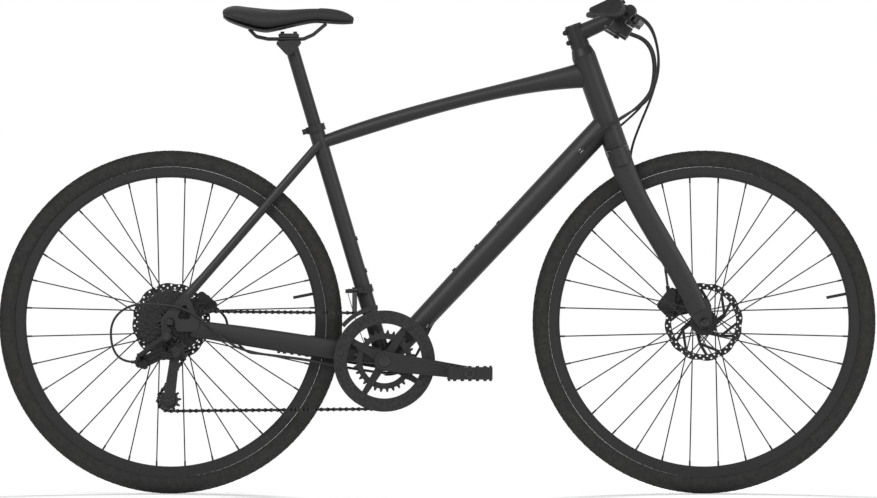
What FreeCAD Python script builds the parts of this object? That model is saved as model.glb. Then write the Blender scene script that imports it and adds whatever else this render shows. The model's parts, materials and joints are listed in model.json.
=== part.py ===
import FreeCAD, Part
import math
import os
import Sketcher
from types import SimpleNamespace
from FreeCAD import Placement, Rotation, Vector

# Flat-bar hybrid bicycle, in millimetres. +X points forward, +Y to the rider's left and +Z up.
# The origin lies on the floor, midway between the two tyre contacts. The drive side is at -Y.

SIZES = {
    # layout
    "wheelbase": 1085, "bead_seat_radius": 311, "tyre_width": 38, "bottom_bracket_drop": 79,
    "chainstay_length": 442, "seat_angle": 73.5, "head_angle": 70.5, "fork_offset": 50,
    # frame tubes
    "crown_top": 392, "head_tube_length": 193, "head_tube_diameter": 49, "head_tube_wall": 2.6,
    "seat_tube_length": 500, "seat_tube_wall": 2.5, "top_tube_wall": 2, "down_tube_wall": 2.2,
    "upper_joint_drop": 38, "top_tube_head_height": 553, "top_tube_arch": 13.5,
    "top_tube_seat_depth": 25, "top_tube_middle_depth": 28, "top_tube_head_depth": 56, "top_tube_width": 24,
    "down_tube_head_height": 449, "down_tube_depth": 48, "down_tube_foot_depth": 40, "down_tube_width": 38,
    "shell_width": 68, "shell_diameter": 42, "shell_wall": 3.5,
    "chainstay_depth": 40, "chainstay_width": 15, "chainstay_spread": 25,
    "seatstay_depth": 17.5, "seatstay_width": 13, "seatstay_spread": 13,
    "rear_spacing": 135, "front_spacing": 100, "dropout_thickness": 7,
    "weld_gap": 0.05, "running_fit": 0.05, "seat_gap": 0.3,
    # seat
    "post_diameter": 27.2, "post_wall": 2.2, "post_exposed": 178, "post_inserted": 130,
    "collar_height": 14, "collar_wall": 3.6, "rail_diameter": 7, "rail_spacing": 44,
    # steering
    "steerer_diameter": 28.6, "steerer_wall": 2.6, "headset_flange": 4, "headset_cover_height": 15,
    "spacer_height": 11, "stem_height": 36, "stem_length": 102, "stem_rise": 24.5, "stem_wall": 4.5,
    "crown_height": 36, "crown_diameter": 50, "blade_spacing": 92, "blade_depth": 46, "blade_tip_depth": 39,
    "blade_width": 20, "blade_tip_width": 14, "fork_end_thickness": 7,
    "bar_clamp_diameter": 31.8, "bar_diameter": 22.2, "bar_wall": 2.2, "bar_reach": 318, "bar_sweep": 4,
    "bar_lift": 2.5, "grip_length": 132, "grip_diameter": 33, "grip_wing": 44,
    # controls and brakes
    "lever_thickness": 9, "lever_pin_diameter": 6, "rotor_radius": 80, "rotor_thickness": 1.8,
    "rotor_track": 14,
    "front_rotor_offset": 38, "rear_rotor_offset": 52, "pad_thickness": 1.6, "pad_gap": 0.4,
    "hose_diameter": 5, "housing_diameter": 4.8, "wire_diameter": 1.6,
    # wheels
    "rim_depth": 22, "rim_width": 24, "rim_wall": 2, "spoke_diameter": 2, "nipple_width": 3.4,
    "spoke_circle": 23, "flange_thickness": 3.2, "hub_barrel": 13, "hub_axle_diameter": 16,
    "axle_diameter": 10,
    "front_flange_offset": 22, "rear_flange_offset": 14, "wide_flange_offset": 33,
    # drive
    "chain_pitch": 12.7, "roller_diameter": 7.2, "plate_depth": 8.2, "plate_thickness": 0.9,
    "chain_inner_width": 2.4,
    "sprocket_thickness": 1.8, "chain_line": 56, "ring_spacing": 7.5, "cog_spacing": 4.34,
    "guard_radius": 103,
    "guard_thickness": 2, "crank_length": 175, "crank_thickness": 13, "spindle_diameter": 24,
    "pedal_length": 92, "pedal_width": 94, "pedal_thickness": 25, "pedal_spindle_diameter": 14,
    "cage_length": 98, "cage_plate": 2, "link_length": 46, "link_width": 14, "shift_sweep": 33.7,
    "shift_slant": 47,
}
TEETH_RING = 48
TEETH_INNER = 30
TEETH_COGS = (11, 13, 15, 17, 20, 23, 26, 30, 34)
TEETH_PULLEY = 11
SPOKES = 32


class Dim:
    """A number that keeps the spreadsheet formula it came from."""

    def __init__(self, value, formula):
        self.value = float(value)
        self.formula = formula

    def __float__(self):
        return self.value

    def __add__(self, other):
        return Dim(self.value + float(other), f"({self.formula} + {formula_of(other)})")

    def __sub__(self, other):
        return Dim(self.value - float(other), f"({self.formula} - {formula_of(other)})")

    def __rsub__(self, other):
        return Dim(float(other) - self.value, f"({formula_of(other)} - {self.formula})")

    def __mul__(self, other):
        return Dim(self.value * float(other), f"({self.formula} * {formula_of(other)})")

    def __truediv__(self, other):
        return Dim(self.value / float(other), f"({self.formula} / {formula_of(other)})")

    __radd__ = __add__
    __rmul__ = __mul__


def formula_of(value):
    return value.formula if isinstance(value, Dim) else f"{float(value):.6f}"


doc = FreeCAD.newDocument("hybrid_bicycle")
sheet = doc.addObject("Spreadsheet::Sheet", "Size")
for row, (name, value) in enumerate(SIZES.items(), 1):
    sheet.set(f"A{row}", name)
    sheet.set(f"B{row}", str(value))
    sheet.setAlias(f"B{row}", name)
doc.recompute()
S = SimpleNamespace(**{name: Dim(value, f"Size.{name}") for name, value in SIZES.items()})
N = SimpleNamespace(**{name: float(value) for name, value in SIZES.items()})

NODES = []
UP = Vector(0, 0, 1)
LEFT = Vector(0, 1, 0)
FORWARD = Vector(1, 0, 0)
SIDE_VIEW = Rotation(FORWARD, 90)  # a flat outline in X and Y stands in X and Z, its thickness goes to -Y


def node(label, thing):
    thing.Label = label
    NODES.append(thing)
    return thing


def bind(thing, **sizes):
    for prop, size in sizes.items():
        thing.setExpression(prop, formula_of(size))
    return thing


def along(base, axis):
    return Placement(base, Rotation(UP, axis))


def side_at(point):
    return Placement(point, SIDE_VIEW)


def axes_at(point, x_axis, z_axis):
    return Placement(point, Rotation(x_axis, z_axis.cross(x_axis), z_axis, "ZXY"))


def cylinder(radius, length, base, axis):
    rod = bind(doc.addObject("Part::Cylinder", "rod"), Radius=radius, Height=length)
    rod.Placement = along(base, axis)
    return rod


def cone(radius_1, radius_2, length, base, axis):
    taper = bind(doc.addObject("Part::Cone", "taper"), Radius1=radius_1, Radius2=radius_2, Height=length)
    taper.Placement = along(base, axis)
    return taper


def torus(ring_radius, tube_radius, point):
    ring = bind(doc.addObject("Part::Torus", "ring"), Radius1=ring_radius, Radius2=tube_radius)
    ring.Placement = side_at(point)
    return ring


def block(length, width, height, centre, x_axis=FORWARD, z_axis=UP):
    brick = bind(doc.addObject("Part::Box", "block"), Length=length, Width=width, Height=height)
    corner = Vector(-float(length) / 2, -float(width) / 2, -float(height) / 2)
    brick.Placement = axes_at(centre, x_axis, z_axis).multiply(Placement(corner, Rotation()))
    return brick


def ellipse(depth, width, centre, depth_axis, path_axis):
    loop = bind(doc.addObject("Part::Ellipse", "section"), MajorRadius=depth / 2, MinorRadius=width / 2)
    loop.Placement = axes_at(centre, depth_axis, path_axis)
    return loop


def loft(sections, ruled=False):
    skin = doc.addObject("Part::Loft", "loft")
    skin.Sections = sections
    skin.Solid = True
    skin.Ruled = ruled
    return skin


def cut(base, *tools):
    for tool in tools:
        result = doc.addObject("Part::Cut", "cut")
        result.Base = base
        result.Tool = tool
        base = result
    return base


def fuse(*parts):
    whole = doc.addObject("Part::MultiFuse", "fuse")
    whole.Shapes = list(parts)
    whole.Refine = True
    return whole


def group(*parts):
    together = doc.addObject("Part::Compound", "group")
    together.Links = list(parts)
    return together


def shape(solid):
    thing = doc.addObject("Part::Feature", "solid")
    thing.Shape = solid
    return thing


def flat_sketch(body, role, edges):
    sketch = body.newObject("Sketcher::SketchObject", "outline")
    plane = [feature for feature in body.Origin.OriginFeatures if feature.Role == role][0]
    sketch.AttachmentSupport = [(plane, "")]
    sketch.MapMode = "FlatFace"
    sketch.addGeometry(edges, False)
    return sketch


def plate(edges, thickness, placement):
    body = doc.addObject("PartDesign::Body", "plate")
    sketch = flat_sketch(body, "XY_Plane", edges)
    pad = body.newObject("PartDesign::Pad", "pad")
    pad.Profile = sketch
    bind(pad, Length=thickness)
    body.Placement = placement
    return body


def turned(points, placement, *hollows):
    """A revolved body. Points are (radius, height) pairs; each further list is a closed hollow."""
    body = doc.addObject("PartDesign::Body", "turned")
    sketch = flat_sketch(body, "XZ_Plane", [])
    first = 0
    for loop in (points, *hollows):
        count = len(loop)
        flat = [Vector(float(radius), float(height), 0) for radius, height in loop]
        sketch.addGeometry([Part.LineSegment(flat[i], flat[(i + 1) % count]) for i in range(count)], False)
        sketch.addConstraint([Sketcher.Constraint("Coincident", first + i, 2, first + (i + 1) % count, 1)
                              for i in range(count)])
        for i, corner in enumerate(loop):
            for kind, size in zip(("DistanceX", "DistanceY"), corner):
                place = sketch.addConstraint(Sketcher.Constraint(kind, -1, 1, first + i, 1, float(size)))
                if isinstance(size, Dim):
                    sketch.setExpression(f"Constraints[{place}]", size.formula)
        first += count
    turn = body.newObject("PartDesign::Revolution", "turn")
    turn.Profile = sketch
    turn.ReferenceAxis = (sketch, ["V_Axis"])
    body.Placement = placement
    return body


def circle_edge(x, y, radius):
    return Part.Circle(Vector(float(x), float(y), 0), UP, float(radius))


def hull(*circles):
    """Lines and arcs drawn tightly round circles (x, y, radius), given in order round the outline."""
    count = len(circles)
    turn = sum(circles[i - 1][0] * circles[i][1] - circles[i][0] * circles[i - 1][1] for i in range(count))
    if turn < 0:
        circles = circles[::-1]
    edges = []
    touches = []
    for i in range(count):
        x1, y1, r1 = circles[i]
        x2, y2, r2 = circles[(i + 1) % count]
        heading = math.atan2(y2 - y1, x2 - x1)
        normal = heading - math.pi / 2 + math.asin((r1 - r2) / math.hypot(x2 - x1, y2 - y1))
        touches.append(normal)
        start = Vector(x1 + r1 * math.cos(normal), y1 + r1 * math.sin(normal), 0)
        end = Vector(x2 + r2 * math.cos(normal), y2 + r2 * math.sin(normal), 0)
        edges.append(Part.LineSegment(start, end))
    for i in range(count):
        x, y, radius = circles[i]
        first = touches[i - 1]
        last = touches[i]
        while last < first:
            last += 2 * math.pi
        edges.append(Part.ArcOfCircle(Part.Circle(Vector(x, y, 0), UP, radius), first, last))
    return edges


def polygon(points):
    corners = [Vector(x, y, 0) for x, y in points]
    return [Part.LineSegment(corners[i - 1], corners[i]) for i in range(len(corners))]


def polar(radius, angle):
    return radius * math.cos(angle), radius * math.sin(angle)


def rounded_path(points, bend):
    """Straight runs joined by tangent arcs."""
    edges = []
    start = points[0]
    for before, corner, after in zip(points, points[1:], points[2:]):
        back = (before - corner).normalize()
        ahead = (after - corner).normalize()
        half = back.getAngle(ahead) / 2
        trim = min(bend / math.tan(half), 0.48 * (before - corner).Length, 0.48 * (after - corner).Length)
        enter = corner + back * trim
        leave = corner + ahead * trim
        radius = trim * math.tan(half)
        middle = (back + ahead).normalize()
        top = corner + middle * (radius / math.sin(half) - radius)
        edges.append(Part.LineSegment(start, enter).toShape())
        edges.append(Part.Arc(enter, top, leave).toShape())
        start = leave
    edges.append(Part.LineSegment(start, points[-1]).toShape())
    return Part.Wire(edges)


def hose(points, diameter, bend):
    """A round cord of the given diameter along straight runs and tangent arcs."""
    path = rounded_path(points, bend)
    spine = shape(path)
    ring = bind(doc.addObject("Part::Circle", "ring"), Radius=diameter / 2)
    ring.Placement = along(points[0], points[1] - points[0])
    sweep = doc.addObject("Part::Sweep", "hose")
    sweep.Sections = [ring]
    sweep.Spine = (spine, [f"Edge{i + 1}" for i in range(len(path.Edges))])
    sweep.Solid = True
    return sweep


# layout of the axles, tubes and steering
wheel_radius = N.bead_seat_radius + N.tyre_width
rear_axle = Vector(-N.wheelbase / 2, 0, wheel_radius)
front_axle = Vector(N.wheelbase / 2, 0, wheel_radius)
bracket = Vector(rear_axle.x + math.sqrt(N.chainstay_length ** 2 - N.bottom_bracket_drop ** 2), 0,
                 wheel_radius - N.bottom_bracket_drop)
seat_tilt = math.radians(N.seat_angle)
head_tilt = math.radians(N.head_angle)
seat_up = Vector(-math.cos(seat_tilt), 0, math.sin(seat_tilt))
seat_back = Vector(-math.sin(seat_tilt), 0, -math.cos(seat_tilt))
head_up = Vector(-math.cos(head_tilt), 0, math.sin(head_tilt))
head_ahead = Vector(math.sin(head_tilt), 0, math.cos(head_tilt))
steering_foot = front_axle - head_ahead * N.fork_offset
seat_tube_diameter = S.post_diameter + 2 * (S.seat_tube_wall + S.running_fit)
steerer_radius = S.steerer_diameter / 2
upper_joint_height = S.seat_tube_length - S.upper_joint_drop


def on_seat(height):
    return bracket + seat_up * float(height)


def on_steering(height):
    return steering_foot + head_up * float(height)


def mirrored(point, side):
    return Vector(point.x, side * point.y, point.z)


head_base = S.crown_top + S.seat_gap + S.headset_flange
head_crest = head_base + S.head_tube_length


# frame
down_run = on_steering(S.down_tube_head_height) - bracket
down_axis = Vector(down_run).normalize()
down_across = LEFT.cross(down_axis)


def in_down_tube(distance, across, side):
    return bracket + down_axis * distance + down_across * across + LEFT * side


def through_tube(entry, line, level, distance):
    """Where a cord enters the side of the down tube, runs inside it and leaves by the underside."""
    return [in_down_tube(distance, level, entry), in_down_tube(distance - 80, level, line),
            in_down_tube(150, level, line), in_down_tube(62, 40, line)]


def cords():
    """The rear hose, rear shift housing and front shift housing: (points, those in the tube, diameter)."""
    below = bracket.z - N.shell_diameter / 2 - 9
    ahead = bracket.x + 33
    hose_tube = through_tube(34, 12, 0, 640)
    rear_tube = through_tube(-34, -12, 0, 640)
    front_tube = through_tube(34, 0, 9, 590)
    stay_line = ((-180, 27, 255), (-263, 42, 272), (-361, 58, 284))
    stay_left = [Vector(*place) for place in stay_line]
    stay_right = [mirrored(place, -1) for place in stay_left]
    rear_port = rear_axle + Vector(86, N.rear_rotor_offset, 30) + REAR_PORT_WAY * 12.2
    hose_rear = [Vector(ahead, 12, below), *stay_left, Vector(-385, 74, 290), Vector(-408, 80, 316),
                 Vector(-421, 72, 346), rear_port + REAR_PORT_WAY * 18, rear_port]
    rear_loop = [Vector(ahead, -12, below), *stay_right, Vector(-420, -72, 300), Vector(-500, -82, 376),
                 Vector(-575, -80, 387), Vector(-628, -71, 384), Vector(-663, -66, 352),
                 Vector(-663, -62, 300), Vector(-642, -59, 269), Vector(-616, -59, 268)]
    hose_front = [*brake_port(-1), Vector(434, -78, 956), Vector(450, -46, 900), Vector(450, -14, 850),
                  Vector(430, 8, 798), Vector(390, 32, 775)]
    rear_front = [*shift_port(-1), Vector(422, -100, 920), Vector(438, -70, 876), Vector(428, -40, 818),
                  Vector(386, -34, 768)]
    front_front = [*shift_port(1), Vector(422, 100, 920), Vector(436, 74, 872), Vector(424, 40, 806),
                   Vector(372, 36, 746)]
    front_end = [Vector(ahead, 0, below), Vector(bracket.x, 0, below + 2)]
    return ((hose_front, hose_tube, hose_rear, S.hose_diameter),
            (rear_front, rear_tube, rear_loop, S.housing_diameter),
            (front_front, front_tube, front_end, S.housing_diameter))


def port_tools():
    """Round ports where the cords pass through the wall of the down tube."""
    tools = []
    for front, inside, rear, diameter in cords():
        for start, end in (inside[:2], inside[2:]):
            tools.append(cylinder(diameter / 2 + 1, (end - start).Length, start, end - start))
    return group(*tools)


def bearing_cups():
    """The two bottom bracket cups, pressed into the shell with a rim outside."""
    bore = S.spindle_diameter / 2 + S.running_fit
    seat = S.shell_diameter / 2 - S.shell_wall - S.weld_gap
    rim = S.shell_diameter / 2
    edge = S.shell_width / 2
    cup = [(bore, edge - 14), (seat, edge - 14), (seat, edge + 0.05), (rim, edge + 0.05), (rim, edge + 4),
           (bore, edge + 4)]
    other = [(radius, height * -1) for radius, height in reversed(cup)]
    return turned(cup, side_at(bracket)), turned(other, side_at(bracket))


def main_frame():
    head_outside = cylinder(S.head_tube_diameter / 2, S.head_tube_length, on_steering(head_base), head_up)
    head_bore = cylinder(S.head_tube_diameter / 2 - S.head_tube_wall, S.head_tube_length,
                         on_steering(head_base), head_up)
    node("head_tube", cut(head_outside, head_bore))
    head_mitre = cylinder(S.head_tube_diameter / 2 + S.weld_gap, S.head_tube_length, on_steering(head_base),
                          head_up)
    seat_mitre = cylinder(seat_tube_diameter / 2 + S.weld_gap, S.seat_tube_length, bracket, seat_up)
    shell_start = bracket + LEFT * (N.shell_width / 2)
    shell_mitre = cylinder(S.shell_diameter / 2 + S.weld_gap, S.shell_width + 12, shell_start + LEFT * 6,
                           -LEFT)
    shell_outside = cylinder(S.shell_diameter / 2, S.shell_width, shell_start, -LEFT)
    shell_bore = cylinder(S.shell_diameter / 2 - S.shell_wall, S.shell_width, shell_start, -LEFT)
    node("bottom_bracket_shell", group(cut(shell_outside, shell_bore), *bearing_cups()))

    seat_joint = on_seat(upper_joint_height)
    head_joint = on_steering(S.top_tube_head_height)
    span = head_joint - seat_joint
    stations = ((0, S.top_tube_seat_depth, 0), (0.4, S.top_tube_middle_depth, 3),
                (0.72, S.top_tube_middle_depth + 3, 6), (1, S.top_tube_head_depth, 12))

    def top_tube_skin(shrink):
        sections = []
        for share, depth, widening in stations:
            lift = 4 * share * (1 - share)
            slope = (span + UP * (4 * (1 - 2 * share) * N.top_tube_arch)).normalize()
            centre = seat_joint + span * share + UP * (lift * N.top_tube_arch)
            sections.append(ellipse(depth - shrink * 2, S.top_tube_width + widening - shrink * 2, centre,
                                    slope.cross(LEFT) * -1, slope))
        return loft(sections)

    node("top_tube", cut(top_tube_skin(0), top_tube_skin(S.top_tube_wall), head_mitre, seat_mitre))

    def down_tube_skin(shrink):
        stations_down = ((0, S.down_tube_foot_depth, 0), (0.35, S.down_tube_depth - 2, 2),
                         (1, S.down_tube_depth, 2))
        return loft([ellipse(depth - shrink * 2, S.down_tube_width + widening - shrink * 2,
                             bracket + down_run * share, down_across, down_axis)
                     for share, depth, widening in stations_down])

    down_outside = down_tube_skin(0)
    boss_tools, bosses = bottle_bosses(down_axis, down_across)
    down_tube = cut(down_outside, down_tube_skin(S.down_tube_wall), head_mitre, shell_mitre,
                    group(*boss_tools[2:]), port_tools())
    node("down_tube", down_tube)
    seat_outside = cylinder(seat_tube_diameter / 2, S.seat_tube_length, bracket, seat_up)
    seat_bore = cylinder(S.post_diameter / 2 + S.running_fit, S.seat_tube_length, bracket, seat_up)
    node("seat_tube", cut(seat_outside, seat_bore, shell_mitre, down_tube_skin(S.weld_gap * -1),
                          group(*boss_tools[:2])))
    node("bottle_bosses", group(*bosses))
    return seat_mitre, shell_mitre


BOSS_ON_SEAT_TUBE = (255, 187)
BOSS_ON_DOWN_TUBE = (232, 298, 364)
BOSS_RADIUS = 4.5
BOSS_LENGTH = 12
BOSS_PROUD = 2
BOSS_THREAD = 2.5


def bottle_bosses(down_axis, down_across):
    """Threaded inserts for bottle cages, two on the seat tube and three on the down tube."""
    tools = []
    inserts = []
    places = [(on_seat(height), seat_back * -1, float(seat_tube_diameter) / 2)
              for height in BOSS_ON_SEAT_TUBE]
    places += [(bracket + down_axis * height, down_across * -1, N.down_tube_depth / 2 - 0.6)
               for height in BOSS_ON_DOWN_TUBE]
    for centre, outward, reach in places:
        base = centre + outward * (reach + BOSS_PROUD - BOSS_LENGTH)
        tools.append(cylinder(S.weld_gap + BOSS_RADIUS, BOSS_LENGTH, base, outward))
        insert = cylinder(BOSS_RADIUS, BOSS_LENGTH, base, outward)
        inserts.append(cut(insert, cylinder(BOSS_THREAD, BOSS_LENGTH, base, outward)))
    return tools, inserts


STAY_END_SHARE = 0.9
HANGER_BOLT = (-8, -28)


def rear_triangle(seat_mitre, shell_mitre):
    chain_stays = []
    seat_stays = []
    dropouts = []
    outer_y = N.rear_spacing / 2 + N.dropout_thickness / 2
    for side in (-1, 1):
        start = bracket + Vector(0, side * N.chainstay_spread, 8)
        end = rear_axle + Vector(0, side * outer_y, -6)
        run = end - start
        axis = Vector(run).normalize()
        depth_axis = axis.cross(LEFT).normalize()
        chainstay = loft([ellipse(S.chainstay_depth * factor, S.chainstay_width - slim, start + run * share,
                                  depth_axis, axis)
                          for share, factor, slim in ((0.02, 0.85, 0), (0.45, 1.02, 0),
                                                      (STAY_END_SHARE, 0.8, 3))])
        top = on_seat(upper_joint_height) + Vector(0, side * N.seatstay_spread, 0)
        foot = rear_axle + Vector(-12, side * outer_y, 0)
        fall = foot - top
        fall_axis = Vector(fall).normalize()
        stay_depth_axis = fall_axis.cross(LEFT).normalize()
        seatstay = loft([ellipse(S.seatstay_depth - slim, S.seatstay_width - slim, top + fall * share,
                                 stay_depth_axis, fall_axis)
                         for share, slim in ((0, 0), (0.4, 0), (0.87, 1.5))])
        chain_stays.append(cut(chainstay, shell_mitre, dropout_blank(side)))
        seat_stays.append(cut(seatstay, seat_mitre, dropout_blank(side)))
        dropouts.append(dropout_plate(side))
    node("chain_stays", group(*chain_stays))
    node("seat_stays", group(*seat_stays))
    node("dropouts", group(*dropouts))


def dropout_blank(side):
    outside = rear_axle + LEFT * (side * N.rear_spacing / 2 + (N.dropout_thickness if side > 0 else 0))
    return plate(hull((0, 0, 19), (44, -4, 15), (30, 50, 8)), S.dropout_thickness, side_at(outside))


def dropout_plate(side):
    outside = rear_axle + LEFT * (side * N.rear_spacing / 2 + (N.dropout_thickness if side > 0 else 0))
    window = plate(hull((22, 12, 6), (34, 12, 6), (29, 30, 5)), S.dropout_thickness, side_at(outside))
    slot_radius = N.axle_diameter / 2 + 0.2
    slot = plate(hull((0, 0, slot_radius), (14, -30, slot_radius)), S.dropout_thickness, side_at(outside))
    solid = dropout_blank(side)
    if side < 0:
        tab = plate(hull((-9, -10, 9), (*HANGER_BOLT, 9)), S.dropout_thickness, side_at(outside))
        hole = plate([circle_edge(*HANGER_BOLT, 5)], S.dropout_thickness, side_at(outside))
        return cut(fuse(solid, tab), window, slot, hole)
    ears = plate(hull(*[(x, z, 8) for x, z in REAR_CALIPER_BOLTS], (36, 30, 12)), S.dropout_thickness,
                 side_at(outside))
    return cut(fuse(solid, ears), window, slot, *caliper_bolt_holes(outside, REAR_CALIPER_BOLTS))


# disc brakes, drawn from each axle in X and Z
REAR_PORT_WAY = Vector(0.85, 0, -0.527)
FRONT_PORT_WAY = Vector(-0.12, 0, 0.993)
REAR_CALIPER_BOLTS = ((53, 14), (72, 47))
FRONT_CALIPER_BOLTS = ((-64, 62), (-64, 18))
CALIPER_BOLT_RADIUS = 3


def caliper_bolt_holes(outside, bolts):
    return [plate([circle_edge(x, z, CALIPER_BOLT_RADIUS + 0.2)], S.dropout_thickness, side_at(outside))
            for x, z in bolts]


def caliper(name, axle, rotor_offset, outline, bolts, ear_face, hose_port):
    """A two-piston caliper over the rotor's edge, with its pads and two bolts through the mounting ears."""
    half_width = min(13, ear_face - float(rotor_offset) - 0.4)
    near = axle + LEFT * (float(rotor_offset) + half_width)
    body = plate(hull(*outline), half_width * 2, side_at(near))
    slot_width = S.rotor_thickness + 2 * (S.pad_gap + S.pad_thickness + 0.1)
    slot_start = axle + LEFT * (float(rotor_offset) + float(slot_width) / 2)
    slot = cylinder(S.rotor_radius + 2, slot_width, slot_start, -LEFT)
    pad_centre = (sum(x for x, z, r in outline) / len(outline), sum(z for x, z, r in outline) / len(outline))
    reach = math.hypot(*pad_centre)
    pad_x, pad_z = [value * (N.rotor_radius - N.rotor_track / 2) / reach for value in pad_centre]
    across = (-pad_centre[1] / reach, pad_centre[0] / reach)
    pads = []
    for face in (N.rotor_thickness / 2 + N.pad_gap + N.pad_thickness, -N.rotor_thickness / 2 - N.pad_gap):
        pads.append(plate(hull((pad_x - 9 * across[0], pad_z - 9 * across[1], 5),
                               (pad_x + 9 * across[0], pad_z + 9 * across[1], 5)), S.pad_thickness,
                          side_at(axle + LEFT * (float(rotor_offset) + face))))
    ear_gap = 0.1
    ears = []
    screws = []
    for x, z in bolts:
        ears.append(plate(hull((x, z, 8), (pad_x * 1.16, pad_z * 1.16, 9)),
                          ear_face - ear_gap - float(rotor_offset) - 5,
                          side_at(axle + LEFT * (ear_face - ear_gap))))
        outside = axle + Vector(x, ear_face + N.dropout_thickness + 4.1, z)
        head = cylinder(5, 4, outside, -LEFT)
        shank = cylinder(CALIPER_BOLT_RADIUS, S.dropout_thickness + 11, outside, -LEFT)
        screws.append(fuse(head, shank))
    spoke_side = cylinder(S.rotor_radius * 0.62, half_width * 3,
                          axle + LEFT * (float(rotor_offset) + half_width * 1.5), -LEFT)
    holes = [cylinder(CALIPER_BOLT_RADIUS + 0.1, S.dropout_thickness + 18,
                      axle + Vector(x, ear_face + N.dropout_thickness + 5, z), -LEFT) for x, z in bolts]
    pistons = [cylinder(10, half_width * 2 + 2,
                        axle + Vector(pad_x, float(rotor_offset) + half_width, pad_z), -LEFT)]
    port = cylinder(4, 12, axle + hose_port[0], hose_port[1])
    shell = cut(fuse(body, *ears, *pistons, port), slot, spoke_side, *holes)
    node(f"{name}_caliper", group(shell, *pads, *screws))


# seat
COLLAR_EAR = 12
RAIL_DROP = 3


def seat_collar():
    base = on_seat(S.seat_tube_length - S.collar_height)
    inner = seat_tube_diameter / 2 + S.weld_gap
    ring = cylinder(inner + S.collar_wall, S.collar_height, base, seat_up)
    bore = cylinder(inner, S.collar_height, base, seat_up)
    middle = base + seat_up * (N.collar_height / 2)
    ear_centre = middle + seat_back * (float(inner) + COLLAR_EAR / 2)
    ear = block(COLLAR_EAR, 16, S.collar_height - 3, ear_centre, seat_back, seat_up)
    slot = block(COLLAR_EAR + 14, 2, S.collar_height + 2, ear_centre, seat_back, seat_up)
    bolt_at = middle + seat_back * (float(inner) + COLLAR_EAR * 0.62)
    bolt_hole = cylinder(2.6, 40, bolt_at + LEFT * 20, -LEFT)
    bolt = fuse(cylinder(2.5, 21, bolt_at + LEFT * 10, -LEFT), cylinder(4.5, 4, bolt_at + LEFT * 12.2, -LEFT))
    node("seat_collar", group(cut(fuse(ring, ear), bore, slot, bolt_hole), bolt))


def saddle_ref():
    return on_seat(S.seat_tube_length + S.post_exposed + 8)


def seat_assembly():
    bottom = on_seat(S.seat_tube_length - S.post_inserted)
    length = S.post_inserted + S.post_exposed
    tube = cylinder(S.post_diameter / 2, length, bottom, seat_up)
    tube_bore = cylinder(S.post_diameter / 2 - S.post_wall, length - 20, bottom, seat_up)
    rails = saddle_ref()
    yoke_width = S.rail_spacing + S.rail_diameter + 4
    yoke_side = side_at(rails + LEFT * (float(yoke_width) / 2))
    yoke = plate(hull((-20, -12, 5), (0, -26, 10), (20, -10, 5)), yoke_width, yoke_side)
    cap = plate(hull((-17, 4.2, 4), (17, 4.2, 4)), yoke_width, yoke_side)
    grooves = group(*[cylinder(S.rail_diameter / 2 + 0.05, 80,
                               rails + Vector(-40, side * N.rail_spacing / 2, -RAIL_DROP), FORWARD)
                      for side in (-1, 1)])
    split = block(60, yoke_width + 10, 6, rails + Vector(0, 0, -RAIL_DROP))
    bolts = []
    shanks = []
    nut_pockets = []
    for x in (-13, 13):
        foot = rails + Vector(x, 0, -20)
        bolts.append(fuse(cylinder(2.5, 30, foot, UP), cylinder(4, 4, foot + UP * 28.4, UP),
                          cylinder(4, 5, foot, UP)))
        shanks.append(cylinder(2.6, 60, foot - UP * 10, UP))
        nut_pockets.append(cylinder(4.1, 15.1, foot - UP * 10, UP))
    node("seat_post", cut(fuse(cut(tube, tube_bore), yoke), grooves, split, group(*shanks),
                          group(*nut_pockets)))
    node("rail_clamp", group(cut(cap, grooves, group(*shanks)), *bolts))
    saddle(rails)


# the saddle's cross-sections from tail to nose: X, half width, top and bottom from the rail clamp
SADDLE_SECTIONS = ((-133, 56, 57, 44), (-108, 76, 65, 30), (-48, 74, 59, 14), (2, 46, 58, 24),
                   (52, 28, 61, 34), (102, 21, 57, 31), (131, 12, 43, 32))


def saddle_section(ref, x, half_width, top, bottom):
    height = top - bottom
    low_y = 0.9 * half_width
    shoulder_y = 0.72 * half_width
    shoulder = bottom + 0.86 * height

    def at(y, z):
        return ref + Vector(x, y, z)

    belly = Part.LineSegment(at(-low_y, bottom), at(low_y, bottom)).toShape()
    left = Part.Arc(at(low_y, bottom), at(half_width, bottom + 0.4 * height),
                    at(shoulder_y, shoulder)).toShape()
    crown = Part.Arc(at(shoulder_y, shoulder), at(0, top), at(-shoulder_y, shoulder)).toShape()
    right = Part.Arc(at(-shoulder_y, shoulder), at(-half_width, bottom + 0.4 * height),
                     at(-low_y, bottom)).toShape()
    return shape(Part.Wire([belly, left, crown, right]))


def saddle(ref):
    cover = loft([saddle_section(ref, *station) for station in SADDLE_SECTIONS])
    pan = []
    for x, half_width, top, bottom in SADDLE_SECTIONS:
        half = 0.8 * half_width
        corners = [ref + Vector(x, y, bottom + z)
                   for y, z in ((-half, -3.2), (half, -3.2), (half, -0.2), (-half, -0.2))]
        pan.append(shape(Part.makePolygon(corners + corners[:1])))
    shell = loft(pan, ruled=True)
    rails = []
    spread = N.rail_spacing / 2
    for side in (-1, 1):
        route = [(-80, 38, 16.5), (-66, 34, 2), (-42, spread, -RAIL_DROP), (30, spread, -RAIL_DROP),
                 (50, 14, 6), (76, 9, 28)]
        rails.append(hose([ref + Vector(x, side * y, z) for x, y, z in route], S.rail_diameter, 14))
    node("saddle_cover", cut(cover, shell, *rails))
    node("saddle_shell", cut(shell, *rails))
    node("saddle_rails", group(*rails))


# steering
cover_base = head_crest + S.headset_flange + S.seat_gap
stem_base = cover_base + S.headset_cover_height + S.spacer_height
stem_axis = Vector(math.cos(math.radians(N.stem_rise)), 0, math.sin(math.radians(N.stem_rise)))
bar_centre = on_steering(stem_base + S.stem_height / 2) + stem_axis * N.stem_length
BAR_STRAIGHT = 34
BAR_TAPER = 42


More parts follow.
